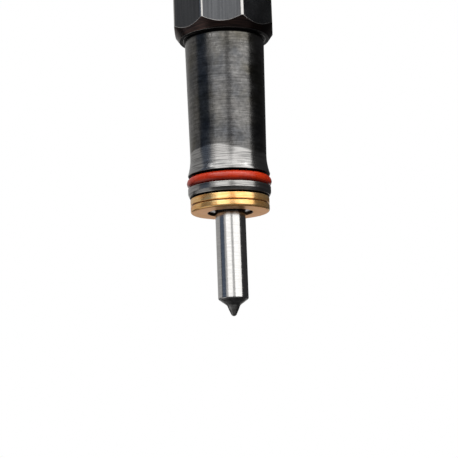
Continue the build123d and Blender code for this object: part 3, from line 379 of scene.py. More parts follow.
def red_silicone():
    """Moulded silicone rubber with a dusty bloom, and painted shade on the lower part of the nozzle's ring.
    """
    g = Graph("red_silicone")
    g.shader.inputs["Specular IOR Level"].default_value = 0.45
    mottle = g.noise(240.0, 4.0)
    color = g.blend(g.step(mottle, 0.3, 0.7), (0.39, 0.017, 0.002), (0.55, 0.032, 0.004))
    color = g.blend(g.step(g.noise(1400.0, 2.0), 0.62, 0.8, 0.0, 0.3), color, (0.60, 0.12, 0.06))
    # painted shade: the lower part of the nozzle's ring is darkened
    height = g.math("ADD", g.z, g.math("MULTIPLY", mottle, 0.2 * MM))
    ring_low_shade = g.step(height, RING_LOW + 1.05 * MM, RING_LOW + 0.35 * MM)
    color = g.blend(ring_low_shade, color, (0.17, 0.007, 0.001))
    roughness = g.step(mottle, 0.3, 0.7, 0.20, 0.30)
    relief = g.bump(g.noise(1600.0, 3.0), 0.004 * MM)
    relief = g.bump(g.noise(1.0, 2.0, 0.5, g.scaled(160.0, 160.0, 2200.0)), 0.004 * MM, relief)
    return g.done(color, roughness, relief)


def dark_steel():
    """Phosphated steel: matt dark grey crystals over turned lines, bare on its edges."""
    g = Graph("dark_steel", metallic=1.0)
    turned = g.lines(g.around(), 0.5 * MM)
    crystals = g.node("ShaderNodeTexVoronoi", 0, {"Vector": g.place, "Scale": 2600.0})
    patches = g.noise(70.0, 5.0)
    color = g.blend(g.step(patches, 0.3, 0.7), (0.115, 0.118, 0.12), (0.19, 0.19, 0.185))
    color = g.blend(1.0, color, g.blend(turned, (0.75,) * 3, (1.25,) * 3), "MULTIPLY")
    color = g.blend(g.step(crystals, 0.1, 0.6, 0.35, 0.0), color, (0.26, 0.26, 0.26))
    color = g.blend(worn_share(g), color, BARE_STEEL)
    color = g.blend(g.step(g.noise(800.0, 2.0), 0.68, 0.72), color, (0.30, 0.30, 0.30))
    roughness = g.step(patches, 0.3, 0.7, 0.34, 0.46)
    relief = g.bump(turned, 0.01 * MM)
    relief = g.bump(crystals, 0.006 * MM, relief)
    return g.done(color, roughness, relief)


def plated_steel():
    """Satin zinc-nickel plating, faintly warm, with turned lines under it."""
    g = Graph("plated_steel", metallic=1.0)
    across_z = g.lines(g.around(), 0.35 * MM)
    across_x = g.lines(g.around(INLET_LEVEL), 0.35 * MM)
    sideways = g.step(g.x, 16.0 * MM, 16.5 * MM)
    turned = g.blend(sideways, across_z, across_x)
    haze = g.noise(130.0, 5.0)
    color = g.blend(g.step(haze, 0.3, 0.7), (0.40, 0.41, 0.41), (0.52, 0.51, 0.48))
    color = g.blend(1.0, color, g.blend(turned, (0.85,) * 3, (1.15,) * 3), "MULTIPLY")
    color = g.blend(g.step(g.noise(900.0, 2.0), 0.68, 0.72), color, (0.22, 0.21, 0.20))
    roughness = g.step(haze, 0.3, 0.7, 0.24, 0.36)
    relief = g.bump(turned, 0.006 * MM)
    relief = g.bump(g.noise(2200.0, 2.0), 0.004 * MM, relief)
    return g.done(color, roughness, relief)


def plain_metal(name, dark, light, roughness, pitch):
    """A metal inside the injector, with its turned or drawn lines."""
    g = Graph(name, metallic=1.0)
    turned = g.lines(g.around(), pitch)
    haze = g.noise(200.0, 4.0)
    color = g.blend(g.step(haze, 0.3, 0.7), dark, light)
    relief = g.bump(turned, 0.003 * MM)
    return g.done(color, g.step(haze, 0.3, 0.7, roughness, roughness + 0.08), relief)


def magnet_iron():
    """Pressed and sintered iron, finely porous."""
    g = Graph("magnet_iron", metallic=1.0)
    pores = g.node("ShaderNodeTexVoronoi", 0, {"Vector": g.place, "Scale": 3200.0})
    color = g.blend(g.step(pores, 0.1, 0.5), (0.09, 0.085, 0.08), (0.24, 0.23, 0.22))
    relief = g.bump(pores, 0.012 * MM)
    return g.done(color, g.step(pores, 0.0, 0.6, 0.62, 0.42), relief)


def copper_wire():
    """Enamelled wire, wound in level turns, with painted shade between the turns."""
    g = Graph("copper_wire", metallic=1.0)
    turns = g.math("SINE", g.math("MULTIPLY", g.around(), 2 * pi / (0.25 * MM)))
    # painted shade: dark stripes between the turns, lighter on their crests
    color = g.blend(g.step(turns, -1.0, 0.6), (0.16, 0.04, 0.015), (0.66, 0.26, 0.10))
    return g.done(color, g.step(g.noise(300.0), 0.3, 0.7, 0.25, 0.4), g.bump(turns, 0.03 * MM))


def moulded(name, dark, light, roughness):
    """Moulded plastic with an eroded grain and faint flow marks."""
    g = Graph(name)
    g.shader.inputs["Specular IOR Level"].default_value = 0.35
    grain = g.noise(2600.0, 3.0, 0.6)
    flow = g.noise(1.0, 3.0, 0.6, g.scaled(40.0, 60.0, 120.0))
    color = g.blend(g.step(flow, 0.3, 0.7), dark, light)
    color = g.blend(g.step(grain, 0.55, 0.8, 0.0, 0.4), color, tuple(c * 1.9 for c in light))
    relief = g.bump(grain, 0.02 * MM)
    relief = g.bump(flow, 0.05 * MM, relief)
    return g.done(color, g.step(grain, 0.3, 0.7, roughness, roughness + 0.12), relief)


def ceramic_ball():
    """A polished ceramic ball, faintly clouded."""
    g = Graph("ceramic_ball")
    cloud = g.noise(900.0, 3.0)
    color = g.blend(cloud, (0.06, 0.06, 0.07), (0.12, 0.12, 0.13))
    return g.done(color, g.step(cloud, 0.3, 0.7, 0.05, 0.1), g.bump(cloud, 0.001 * MM))


MATERIALS = {
    "black_steel": black_steel(),
    "ground_steel": ground_steel(),
    "brass": brass(),
    "red_silicone": red_silicone(),
    "dark_steel": dark_steel(),
    "plated_steel": plated_steel(),
    "lapped_steel": plain_metal("lapped_steel", (0.55, 0.56, 0.57), (0.64, 0.64, 0.64), 0.10, 0.15 * MM),
    "spring_steel": plain_metal("spring_steel", (0.20, 0.21, 0.22), (0.32, 0.32, 0.33), 0.28, 0.3 * MM),
    "tin_contact": plain_metal("tin_contact", (0.62, 0.61, 0.58), (0.72, 0.71, 0.68), 0.28, 0.2 * MM),
    "magnet_iron": magnet_iron(),
    "copper_wire": copper_wire(),
    "black_rubber": moulded("black_rubber", (0.012, 0.012, 0.012), (0.022, 0.022, 0.022), 0.36),
    "black_plastic": moulded("black_plastic", (0.011, 0.0115, 0.013), (0.019, 0.020, 0.022), 0.36),
    "tan_plastic": moulded("tan_plastic", (0.50, 0.36, 0.19), (0.58, 0.43, 0.25), 0.42),
    "ceramic_ball": ceramic_ball(),
}

for name, node in NODES.items():
    node.data.materials.clear()
    node.data.materials.append(MATERIALS[SLOTS[name]])

# ---------------------------------------------------------------- mesh helpers, in millimetres

ARC_STEPS = 5
LATHE_STEPS = 180
SMOOTH_ANGLE = radians(38)
HEX_SIDES = 6
FLAT_EDGE = 0.02  # how far inside a wrench flat still counts as on it


def box_mm(node):
    """A node's lowest and highest corners in millimetres."""
    return [[c / MM for c in corner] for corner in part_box(node)]


def outer_r(node):
    """The outer radius of a round node."""
    low, high = box_mm(node)
    return (high[1] - low[1]) / 2


def rounded(corners, steps=ARC_STEPS):
    """Points (r, z, wear) round an outline of (r, z, fillet) corners. Rounded corners are worn."""
    points = []
    for number, (r, z, fillet) in enumerate(corners):
        if not fillet:
            points.append((r, z, 0.0))
            continue
        corner = Vector((r, z))
        before = (Vector(corners[number - 1][:2]) - corner).normalized()
        after = (Vector(corners[(number + 1) % len(corners)][:2]) - corner).normalized()
        half = before.angle(after) / 2
        centre = corner + (before + after).normalized() * (fillet / sin(half))
        spoke_in = corner + before * (fillet / tan(half)) - centre
        spoke_out = corner + after * (fillet / tan(half)) - centre
        for step in range(steps + 1):
            place = centre + spoke_in.slerp(spoke_out, step / steps) * fillet
            points.append((place.x, place.y, 1.0 if 0 < step < steps else 0.0))
    return points


def skin(name, columns, stand=Matrix.Identity(4)):
    """A closed mesh round columns of (x, y, z, wear, milled) points. The last column joins the first."""
    bm = bmesh.new()
    wear = bm.verts.layers.float.new("wear")
    milled = bm.verts.layers.float.new("milled")
    grid = []
    for column in columns:
        verts = []
        for *place, worn, flat in column:
            vert = bm.verts.new(stand @ Vector(place) * MM)
            vert[wear] = worn
            vert[milled] = flat
            verts.append(vert)
        grid.append(verts)
    for left, right in zip(grid, grid[1:] + grid[:1]):
        for row in range(len(left)):
            bm.faces.new((left[row - 1], right[row - 1], right[row], left[row]))
    bmesh.ops.remove_doubles(bm, verts=bm.verts, dist=1e-8)
    bmesh.ops.recalc_face_normals(bm, faces=bm.faces)
    for face in bm.faces:
        face.smooth = True
    mesh = bpy.data.meshes.new(name)
    bm.to_mesh(mesh)
    bm.free()
    piece = bpy.data.objects.new(name, mesh)
    bpy.context.scene.collection.objects.link(piece)
    return piece


def turn_points(outline, angle):
    """An outline's points at one angle round the axis."""
    return [(r * cos(angle), r * sin(angle), z, wear, 0.0) for r, z, wear in outline]


def lathe(name, corners, stand=Matrix.Identity(4)):
    """A solid of revolution from the (r, z, fillet) corners of its section."""
    outline = rounded(corners)
    angles = [2 * pi * step / LATHE_STEPS for step in range(LATHE_STEPS)]
    return skin(name, [turn_points(outline, angle) for angle in angles], stand)


def polygon(across, sides, fillet, turned=0.0, per_flat=16, per_corner=6):
    """(angle, radius, wear) round a polygon with rounded corners."""
    spread = 2 * pi / sides
    centre_r = (across / 2 - fillet) / cos(spread / 2)
    columns = []
    for side in range(sides):
        middle = (side + 0.5) * spread + turned
        centre = Vector((cos(middle), sin(middle))) * centre_r
        arc = []
        for step in range(per_corner + 1):
            facing = middle + spread * (step / per_corner - 0.5)
            arc.append(centre + Vector((cos(facing), sin(facing))) * fillet)
        next_arc = Matrix.Rotation(spread, 2) @ arc[0]
        for step, place in enumerate(arc):
            columns.append((place, 1.0 if 0 < step < per_corner else 0.0))
        for step in range(1, per_flat):
            columns.append((arc[-1].lerp(next_arc, step / per_flat), 0.0))
    return [(atan2(place.y, place.x), place.length, wear) for place, wear in columns]


def flat_points(outline, angle, flat_r, worn):
    """An outline's points at one angle, marked as milled where they lie on a wrench flat."""
    column = []
    for r, z, wear in outline:
        on_flat = 1.0 if r > flat_r - FLAT_EDGE else 0.0
        column.append((r * cos(angle), r * sin(angle), z, max(wear, worn * on_flat), on_flat))
    return column


def stand_for(piece, node):
    """Gives a piece its node's material, and makes it stand for that node."""
    piece.data.materials.append(MATERIALS[SLOTS[node]])
    piece.data.set_sharp_from_angle(angle=SMOOTH_ANGLE)
    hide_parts(node)


def finish_piece(piece, node):
    """Finishes a piece that belongs to the injector's still parts."""
    stand_for(piece, node)
    weighted = piece.modifiers.new("weighted_normals", "WEIGHTED_NORMAL")
    weighted.keep_sharp = True
    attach(piece, "injector")


# ---------------------------------------------------------------- sealing washer and nozzle seal

RING_STEPS = 32
WASHER_GROOVE = (0.22, 0.30)  # half its width, and its depth


def make_washer():
    r = outer_r("sealing_washer")
    (_, _, low), (_, _, high) = box_mm("sealing_washer")
    middle = (low + high) / 2
    half, depth = WASHER_GROOVE
    corners = [
        (WASHER_BORE_R, low, 0.25),
        (r, low, 0.5),
        (r, middle - half, 0.06),
        (r - depth, middle, 0.08),
        (r, middle + half, 0.06),
        (r, high, 0.22),
        (WASHER_BORE_R, high, 0.2),
    ]
    finish_piece(lathe("seat_washer", corners), "sealing_washer")


def ring_corners(outer, section_r, level, flash):
    """An O-ring's round section, with the fine moulding line left round its middle."""
    centre = outer - section_r - flash
    corners = []
    for step in range(RING_STEPS):
        angle = 2 * pi * step / RING_STEPS
        proud = flash if step in (0, RING_STEPS // 2) else 0.0
        corners.append((centre + (section_r + proud) * cos(angle), level + section_r * sin(angle), 0.0))
    return corners


def make_seal(name, node, flash=0.02):
    low, high = box_mm(node)
    section_r = (high[2] - low[2]) / 2
    finish_piece(lathe(name, ring_corners(outer_r(node), section_r, (low[2] + high[2]) / 2, flash)), node)


make_washer()
make_seal("nozzle_seal", "nozzle_o_ring")
make_seal("pilot_seal", "body_o_ring")

# ---------------------------------------------------------------- retaining nut

NOSE_R = 4.95
NOSE_BORE_R = 3.6
NUT_BORE_R = 7.25
NUT_CLEAR_R = 7.6
SEAT_LAND_R = 7.9
RIM_HEIGHT = 0.35
COLLAR_R = 9.62
GROOVE_WIDTH = 2.9
RING_PLAY = 0.02
COLLAR_TOP_R = 9.52
WAIST_R = 8.88
WAIST_Z = 13.2
BARREL_R = 9.33
BARREL_TOP_Z = 40.95
UNDERCUT_R = 9.05
WRENCH_ACROSS = 23.0
WRENCH_SIDES = 8
WRENCH_TURN = radians(-1.7)
WRENCH_LOW_Z = 41.3
WRENCH_LOW_R = 10.557
WRENCH_SLOPE = tan(radians(55))
WRENCH_TOP_R = 11.1
TOP_SLOPE = 0.74
WRENCH_FILLET = 1.1
FACE_LINE_R = (9.62, 9.70, 9.80)  # a fine turned line in the face above the undercut
FACE_LINE_DEPTH = 0.08
THREAD_RELIEF_Z = (42.6, 44.2)
NUT_CLEAR_LOW_Z = 30.0
SCREW_R = 8.5
NOZZLE_HEAD_LENGTH = 18.5
NOZZLE_SHOULDER_Z = box_mm("nozzle_body")[1][2] - NOZZLE_HEAD_LENGTH


def flare(low_z, steps=12):
    """The barrel's sweep out to the collar, an arc that leaves the barrel straight."""
    out = COLLAR_TOP_R - WAIST_R
    fall = WAIST_Z - low_z
    bend = (out**2 + fall**2) / (2 * out)
    levels = [low_z + fall * step / steps for step in range(steps)]
    return [(WAIST_R + bend - sqrt(bend**2 - (WAIST_Z - z) ** 2), z, 0.0) for z in levels]


def nut_corners(flat_r):
    """The nut's section at an angle where its wrench flats stand at a given radius."""
    (_, _, nose_low), (_, _, top) = box_mm("nozzle_nut")
    seat = box_mm("sealing_washer")[1][2]
    ring_low, ring_high = box_mm("nozzle_o_ring")
    groove_low = ring_low[2] - RING_PLAY
    groove_high = groove_low + GROOVE_WIDTH
    groove_r = outer_r("nozzle_o_ring") - (ring_high[2] - ring_low[2]) - RING_PLAY
    rim = seat + RIM_HEIGHT
    break_low = WRENCH_LOW_Z + (flat_r - WRENCH_LOW_R) * WRENCH_SLOPE
    break_high = top - (flat_r - WRENCH_TOP_R) * TOP_SLOPE
    return [
        (NOSE_BORE_R, nose_low, 0.1),
        (NOSE_R, nose_low, 0.3),
        (NOSE_R, seat, 0.0),
        (SEAT_LAND_R, seat, 0.0),
        (SEAT_LAND_R, rim, 0.05),
        (COLLAR_R - 0.3, rim, 0.25),
        (COLLAR_R, rim + 0.85, 0.3),
        (COLLAR_R, groove_low, 0.1),
        (groove_r, groove_low, 0.15),
        (groove_r, groove_high, 0.15),
        (COLLAR_TOP_R, groove_high, 0.08),
        *flare(groove_high + 0.3),
        (WAIST_R, WAIST_Z, 0.0),
        (BARREL_R, BARREL_TOP_Z - 0.2, 0.0),
        (BARREL_R - 0.02, BARREL_TOP_Z, 0.12),
        (UNDERCUT_R, BARREL_TOP_Z + 0.02, 0.05),
        (UNDERCUT_R, WRENCH_LOW_Z, 0.1),
        (FACE_LINE_R[0], WRENCH_LOW_Z, 0.04),
        (FACE_LINE_R[1], WRENCH_LOW_Z + FACE_LINE_DEPTH, 0.02),
        (FACE_LINE_R[2], WRENCH_LOW_Z, 0.04),
        (WRENCH_LOW_R, WRENCH_LOW_Z, 0.15),
        (flat_r, break_low, 0.25),
        (flat_r, break_high, 0.25),
        (WRENCH_TOP_R, top, 0.15),
        (SCREW_R + 0.8, top, 0.15),
        (SCREW_R, top - 0.8, 0.0),
        (SCREW_R, THREAD_RELIEF_Z[1] + 0.2, 0.0),
        (SCREW_R + 0.2, THREAD_RELIEF_Z[1], 0.0),
        (SCREW_R + 0.2, THREAD_RELIEF_Z[0], 0.0),
        (NUT_CLEAR_R, THREAD_RELIEF_Z[0], 0.0),
        (NUT_CLEAR_R, NUT_CLEAR_LOW_Z, 0.0),
        (NUT_BORE_R, NUT_CLEAR_LOW_Z, 0.0),
        (NUT_BORE_R, NOZZLE_SHOULDER_Z, 0.0),
        (NOSE_BORE_R, NOZZLE_SHOULDER_Z, 0.0),
    ]


def make_nut():
    columns = []
    for angle, flat_r, worn in polygon(WRENCH_ACROSS, WRENCH_SIDES, WRENCH_FILLET, WRENCH_TURN):
        columns.append(flat_points(rounded(nut_corners(flat_r)), angle, flat_r, worn))
    finish_piece(skin("retaining_nut", columns), "nozzle_nut")


make_nut()

# ---------------------------------------------------------------- spray nozzle

SHANK_R = 3.5
SHANK_TOP_Z = 0.35
SHANK_LOW_Z = -20.05
RELIEF_R = 3.2
GUIDE_R = 2.0
GALLERY_R = 3.1
GALLERY_Z = (13.0, 16.8)
SHANK_BORE_R = 1.85
SAC_R = 0.42
SAC_TOP_Z = -21.9
SAC_LOW_Z = -22.75
SEAT_SLOPE = tan(radians(30))
BALL_END_R = 0.70
BALL_END_SPREAD = radians(68)
TIP_CONE = ((1.13, -22.5), (1.52, -21.5))
SPRAY_HOLES = 7
SPRAY_HOLE_R = 0.12
SPRAY_Z = -22.35
SPRAY_DROP = radians(17.5)
DOWEL_R = 1.0
DOWEL_Y = 5.4
DOWEL_DEPTH = 3.8


def cutter_rod(bm, start, end, r, sides=24):
    """Adds a closed rod between two points, for cutting a hole."""
    middle = (Vector(start) + Vector(end)) / 2
    along = Vector(end) - Vector(start)
    stand = Matrix.Translation(middle * MM) @ along.to_track_quat("Z", "Y").to_matrix().to_4x4()
    sizes = {"segments": sides, "radius1": r * MM, "radius2": r * MM, "depth": along.length * MM}
    bmesh.ops.create_cone(bm, cap_ends=True, matrix=stand, **sizes)


def combine(piece, other, operation):
    """Joins another solid to a piece or takes it away, and removes the other solid."""
    boolean = piece.modifiers.new("combine", "BOOLEAN")
    boolean.operation = operation
    boolean.solver = "EXACT"
    boolean.object = other
    shaped = bpy.data.meshes.new_from_object(piece.evaluated_get(bpy.context.evaluated_depsgraph_get()))
    piece.modifiers.clear()
    piece.data = shaped
    bpy.data.objects.remove(other)


def cut(piece, bm):
    """Takes the solids of a bmesh away from a piece."""
    mesh = bpy.data.meshes.new("cutter")
    bm.to_mesh(mesh)
    bm.free()
    cutter = bpy.data.objects.new("cutter", mesh)
    bpy.context.scene.collection.objects.link(cutter)
    combine(piece, cutter, "DIFFERENCE")


def dome(low, r, spread, steps=9):
    """The round end of the tip, from its lowest point outwards."""
    turns = [spread * step / steps for step in range(steps + 1)]
    return [(r * sin(turn), low + r * (1 - cos(turn)), 0.0) for turn in turns]


def make_nozzle():
    r = outer_r("nozzle_body")
    (_, _, tip), (_, _, top) = box_mm("nozzle_body")
    corners = [
        *dome(tip, BALL_END_R, BALL_END_SPREAD),
        (*TIP_CONE[0], 0.0),
        (*TIP_CONE[1], 1.2),
        (SHANK_R, SHANK_LOW_Z, 0.45),
        (SHANK_R, SHANK_TOP_Z, 0.05),
        (RELIEF_R, SHANK_TOP_Z + 0.2, 0.0),
        (RELIEF_R, NOZZLE_SHOULDER_Z, 0.1),
        (r, NOZZLE_SHOULDER_Z, 0.3),
        (r, top, 0.3),
        (GUIDE_R, top, 0.0),
        (GUIDE_R, GALLERY_Z[1], 0.0),
        (GALLERY_R, GALLERY_Z[1] - 0.8, 0.3),
        (GALLERY_R, GALLERY_Z[0] + 0.9, 0.3),
        (SHANK_BORE_R, GALLERY_Z[0], 0.0),
        (SHANK_BORE_R, SAC_TOP_Z + (SHANK_BORE_R - SAC_R) / SEAT_SLOPE, 0.0),
        (SAC_R, SAC_TOP_Z, 0.0),
        (SAC_R, SAC_LOW_Z - 0.3, 0.3),
        (0.0, SAC_LOW_Z - SAC_R, 0.0),
    ]
    nozzle = lathe("spray_nozzle", corners)
    holes = bmesh.new()
    for number in range(SPRAY_HOLES):
        turn = 2 * pi * number / SPRAY_HOLES
        out = Vector((cos(turn) * cos(SPRAY_DROP), sin(turn) * cos(SPRAY_DROP), -sin(SPRAY_DROP)))
        start = Vector((0, 0, SPRAY_Z))
        cutter_rod(holes, start + out * 0.2, start + out * 2.5, SPRAY_HOLE_R, 16)
    for side in (-DOWEL_Y, DOWEL_Y):
        cutter_rod(holes, (0, side, top - DOWEL_DEPTH), (0, side, top + 1), DOWEL_R)
    cut(nozzle, holes)
    finish_piece(nozzle, "nozzle_body")


make_nozzle()

# ---------------------------------------------------------------- injector body

SCREW_LOW_Z = 43.4
RELIEF_BODY_R = 7.9
PILOT_R = 13.0
PILOT_Z = (58.2, 78.5)
PILOT_GROOVE_R = 10.75
PILOT_GROOVE_Z = (62.0, 65.0)
NECK_R = 12.5
CLAMP_Z = (80.0, 91.0)
CLAMP_HALF = 9.0
HEAD_R = 14.6
HEAD_TOP_Z = 105.0
CAP_THREAD_R = 14.0
BODY_TOP_Z = 117.5
CHAMBER_R = 3.75
CHAMBER_TOP_Z = 46.2
PISTON_BORE_R = 2.4
STEM_BORE_R = 4.65
STEM_BORE_Z = (94.0, 104.0)
VALVE_BORE_R = 8.3
LEDGE_BORE_R = 10.5
LEDGE_Z = 113.0
BOSS_R = 8.5
BOSS_END_X = 17.0
BOSS_EDGE = 0.8
SPIGOT_BORE_X = 9.5
SPIGOT_R = 6.0
CROSS_BORE_R = 1.0
FEED_R = 0.9
FEED_X = (5.5, 8.0)
EDGE_TURN = radians(0.7)  # half the width of a worn edge beside the clamp flats
INLET_STAND = Matrix(((0, 0, 1, 0), (0, 1, 0, 0), (-1, 0, 0, INLET_LEVEL / MM), (0, 0, 0, 1)))


def body_corners(flat_r, on_neck):
    """The body's section at an angle where the clamp flats stand at a given radius."""
    low = box_mm("injector_body")[0][2]
    cap_low = box_mm("solenoid_nut")[0][2]
    r = outer_r("nozzle_body")
    step = min(0.2, 0.3 * (NECK_R - flat_r))
    reach = (0.3, 1.0) if on_neck else (flat_r - NECK_R, flat_r - NECK_R)
    return [
        (CHAMBER_R, low, 0.0),
        (r, low, 0.3),
        (r, SCREW_LOW_Z, 0.0),
        (SCREW_R - 0.6, SCREW_LOW_Z, 0.0),
        (SCREW_R, SCREW_LOW_Z + 0.6, 0.0),
        (SCREW_R, PILOT_Z[0] - 1.8, 0.1),
        (RELIEF_BODY_R, PILOT_Z[0] - 1.2, 0.2),
        (RELIEF_BODY_R, PILOT_Z[0], 0.4),
        (PILOT_R - 1.0, PILOT_Z[0], 0.35),
        (PILOT_R, PILOT_Z[0] + 1.0, 0.35),
        (PILOT_R, PILOT_GROOVE_Z[0], 0.15),
        (PILOT_GROOVE_R, PILOT_GROOVE_Z[0], 0.2),
        (PILOT_GROOVE_R, PILOT_GROOVE_Z[1], 0.2),
        (PILOT_R, PILOT_GROOVE_Z[1], 0.15),
        (PILOT_R, PILOT_Z[1], 0.3),
        (NECK_R, PILOT_Z[1] + 0.5, 0.2),
        (NECK_R, CLAMP_Z[0], step),
        (flat_r, CLAMP_Z[0], step),
        (flat_r, CLAMP_Z[1] - 1.0, 0.0),
        (NECK_R + reach[0], CLAMP_Z[1] - 0.3, 0.0),
        (NECK_R + reach[1], CLAMP_Z[1], 0.0),
        (HEAD_R - 0.6, CLAMP_Z[1], 0.3),
        (HEAD_R, CLAMP_Z[1] + 0.6, 0.3),
        (HEAD_R, HEAD_TOP_Z - 0.6, 0.3),
        (HEAD_R - 0.6, HEAD_TOP_Z, 0.3),
        (CAP_THREAD_R - 0.8, HEAD_TOP_Z, 0.2),
        (CAP_THREAD_R - 0.8, cap_low, 0.0),
        (CAP_THREAD_R, cap_low + 0.8, 0.0),
        (CAP_THREAD_R, BODY_TOP_Z, 0.4),
        (LEDGE_BORE_R, BODY_TOP_Z, 0.2),
        (LEDGE_BORE_R, LEDGE_Z, 0.0),
        (VALVE_BORE_R, LEDGE_Z, 0.0),
        (VALVE_BORE_R, STEM_BORE_Z[1], 0.0),
        (STEM_BORE_R, STEM_BORE_Z[1], 0.0),
        (STEM_BORE_R, STEM_BORE_Z[0], 0.0),
        (PISTON_BORE_R, STEM_BORE_Z[0], 0.0),
        (PISTON_BORE_R, CHAMBER_TOP_Z, 0.0),
        (CHAMBER_R, CHAMBER_TOP_Z, 0.0),
    ]


def clamp_angles():
    """Angles round the body, with three close together at each edge of the clamp flats."""
    edge = asin(CLAMP_HALF / NECK_R)
    edges = [edge, pi - edge, pi + edge, 2 * pi - edge]
    even = [2 * pi * (step + 0.5) / LATHE_STEPS for step in range(LATHE_STEPS)]
    spaced = [angle for angle in even if min(abs(angle - at) for at in edges) > 1.5 * EDGE_TURN]
    close = [at + turn for at in edges for turn in (-EDGE_TURN, 0.0, EDGE_TURN)]
    return [(angle, 1.0 if angle in edges else 0.0) for angle in sorted(spaced + close)]


def make_boss():
    """The inlet boss as a closed solid, to be joined to the body."""
    corners = [(0.0, STEM_BORE_R + 3.0, 0.0), (BOSS_R, STEM_BORE_R + 3.0, 0.0)]
    corners += [(BOSS_R, BOSS_END_X - BOSS_EDGE, 0.3), (BOSS_R - BOSS_EDGE, BOSS_END_X, 0.3)]
    corners += [(0.0, BOSS_END_X, 0.0)]
    return lathe("boss", corners, INLET_STAND)


def wear_boss(body):
    """Wear on the boss's outer edge alone, whatever the cuts left there."""
    for vert, wear in zip(body.data.vertices, body.data.attributes["wear"].data):
        x, y, z = vert.co / MM
        off = hypot(y, z - INLET_LEVEL / MM)
        if x > STEM_BORE_R and off < BOSS_R + 0.01:
            wear.value = 1.0 if x > BOSS_END_X - BOSS_EDGE and off > BOSS_R - BOSS_EDGE else 0.0


def make_body():
    columns = []
    for angle, worn in clamp_angles():
        flat_r = min(NECK_R - 0.02, CLAMP_HALF / max(abs(sin(angle)), 0.1))
        on_neck = flat_r > NECK_R - 0.05
        column = []
        for r, z, wear in rounded(body_corners(flat_r, on_neck)):
            on_flat = worn if CLAMP_Z[0] < z < CLAMP_Z[1] and r < NECK_R else 0.0
            column.append((r * cos(angle), r * sin(angle), z, max(wear, on_flat), 0.0))
        columns.append(column)
    body = skin("body_forging", columns)
    boss = make_boss()
    combine(body, boss, "UNION")
    low = box_mm("injector_body")[0][2]
    level = INLET_LEVEL / MM
    holes = bmesh.new()
    cutter_rod(holes, (SPIGOT_BORE_X, 0, level), (BOSS_END_X + 1, 0, level), SPIGOT_R, 96)
    cut(body, holes)
    holes = bmesh.new()
    cutter_rod(holes, (STEM_BORE_R - 0.5, 0, level), (SPIGOT_BORE_X + 1, 0, level), CROSS_BORE_R)
    for side in (-DOWEL_Y, DOWEL_Y):
        cutter_rod(holes, (0, side, low - 1), (0, side, low + DOWEL_DEPTH), DOWEL_R)
    cut(body, holes)
    holes = bmesh.new()
    cutter_rod(holes, (FEED_X[0] - 0.05, 0, low - 1), (FEED_X[1], 0, level), FEED_R)
    cut(body, holes)
    wear_boss(body)
    finish_piece(body, "injector_body")


make_body()

# ---------------------------------------------------------------- cap nut and magnet sleeve

CAP_SKIRT_R = 15.6
CAP_HEX_LIFT = 3.0
CAP_FACE_R = 15.8
CAP_SLOPE = 0.61
CAP_FILLET = 0.9
SLEEVE_R = 11.8
SLEEVE_FLANGE_R = 13.5
SLEEVE_FLANGE_TOP_Z = 119.5
SLEEVE_BORE_R = 10.42
RING_GROOVE_R = (11.45, 12.95)
RING_GROOVE_DEPTH = 1.4
MAGNET_TOP_Z = 132.0
LEG_HOLE = (-7.0, 2.9, 1.0)  # how far along X and Y, and the radius
RETURN_BORE_R = 1.5


def make_cap_nut():
    low, high = box_mm("solenoid_nut")
    columns = []
    for angle, flat_r, worn in polygon(high[0] - low[0], HEX_SIDES, CAP_FILLET):
        hex_low = low[2] + CAP_HEX_LIFT
        lift = (flat_r - CAP_FACE_R) * CAP_SLOPE
        corners = [
            (CAP_THREAD_R + 0.4, low[2], 0.1),
            (CAP_SKIRT_R, low[2], 0.4),
            (CAP_SKIRT_R, hex_low, 0.05),
            (CAP_FACE_R, hex_low, 0.05),
            (flat_r, hex_low + lift, 0.25),
            (flat_r, high[2] - lift, 0.25),
            (CAP_FACE_R, high[2], 0.1),
            (SLEEVE_R + 0.2, high[2], 0.3),
            (SLEEVE_R + 0.2, SLEEVE_FLANGE_TOP_Z, 0.0),
            (CAP_THREAD_R, SLEEVE_FLANGE_TOP_Z, 0.0),
            (CAP_THREAD_R, low[2] + 0.4, 0.0),
        ]
        columns.append(flat_points(rounded(corners), angle, flat_r, worn))
    finish_piece(skin("cap_nut", columns), "solenoid_nut")


def make_sleeve():
    (_, _, low), (_, _, top) = box_mm("solenoid_sleeve")
    corners = [
        (SLEEVE_BORE_R, low, 0.0),
        (RING_GROOVE_R[0], low, 0.0),
        (RING_GROOVE_R[0], low + RING_GROOVE_DEPTH, 0.0),
        (RING_GROOVE_R[1], low + RING_GROOVE_DEPTH, 0.0),
        (RING_GROOVE_R[1], low, 0.0),
        (SLEEVE_FLANGE_R, low, 0.0),
        (SLEEVE_FLANGE_R, SLEEVE_FLANGE_TOP_Z, 0.2),
        (SLEEVE_R, SLEEVE_FLANGE_TOP_Z, 0.2),
        (SLEEVE_R, top, 0.5),
        (RETURN_BORE_R, top, 0.1),
        (RETURN_BORE_R, MAGNET_TOP_Z, 0.0),
        (SLEEVE_BORE_R, MAGNET_TOP_Z, 0.0),
    ]
    sleeve = lathe("magnet_sleeve", corners)
    holes = bmesh.new()
    x, y, r = LEG_HOLE
    for side in (-y, y):
        cutter_rod(holes, (x, side, MAGNET_TOP_Z - 1), (x, side, top + 1), r)
    cut(sleeve, holes)
    finish_piece(sleeve, "solenoid_sleeve")


make_cap_nut()
make_sleeve()

# ---------------------------------------------------------------- inlet union and leak-off nipple

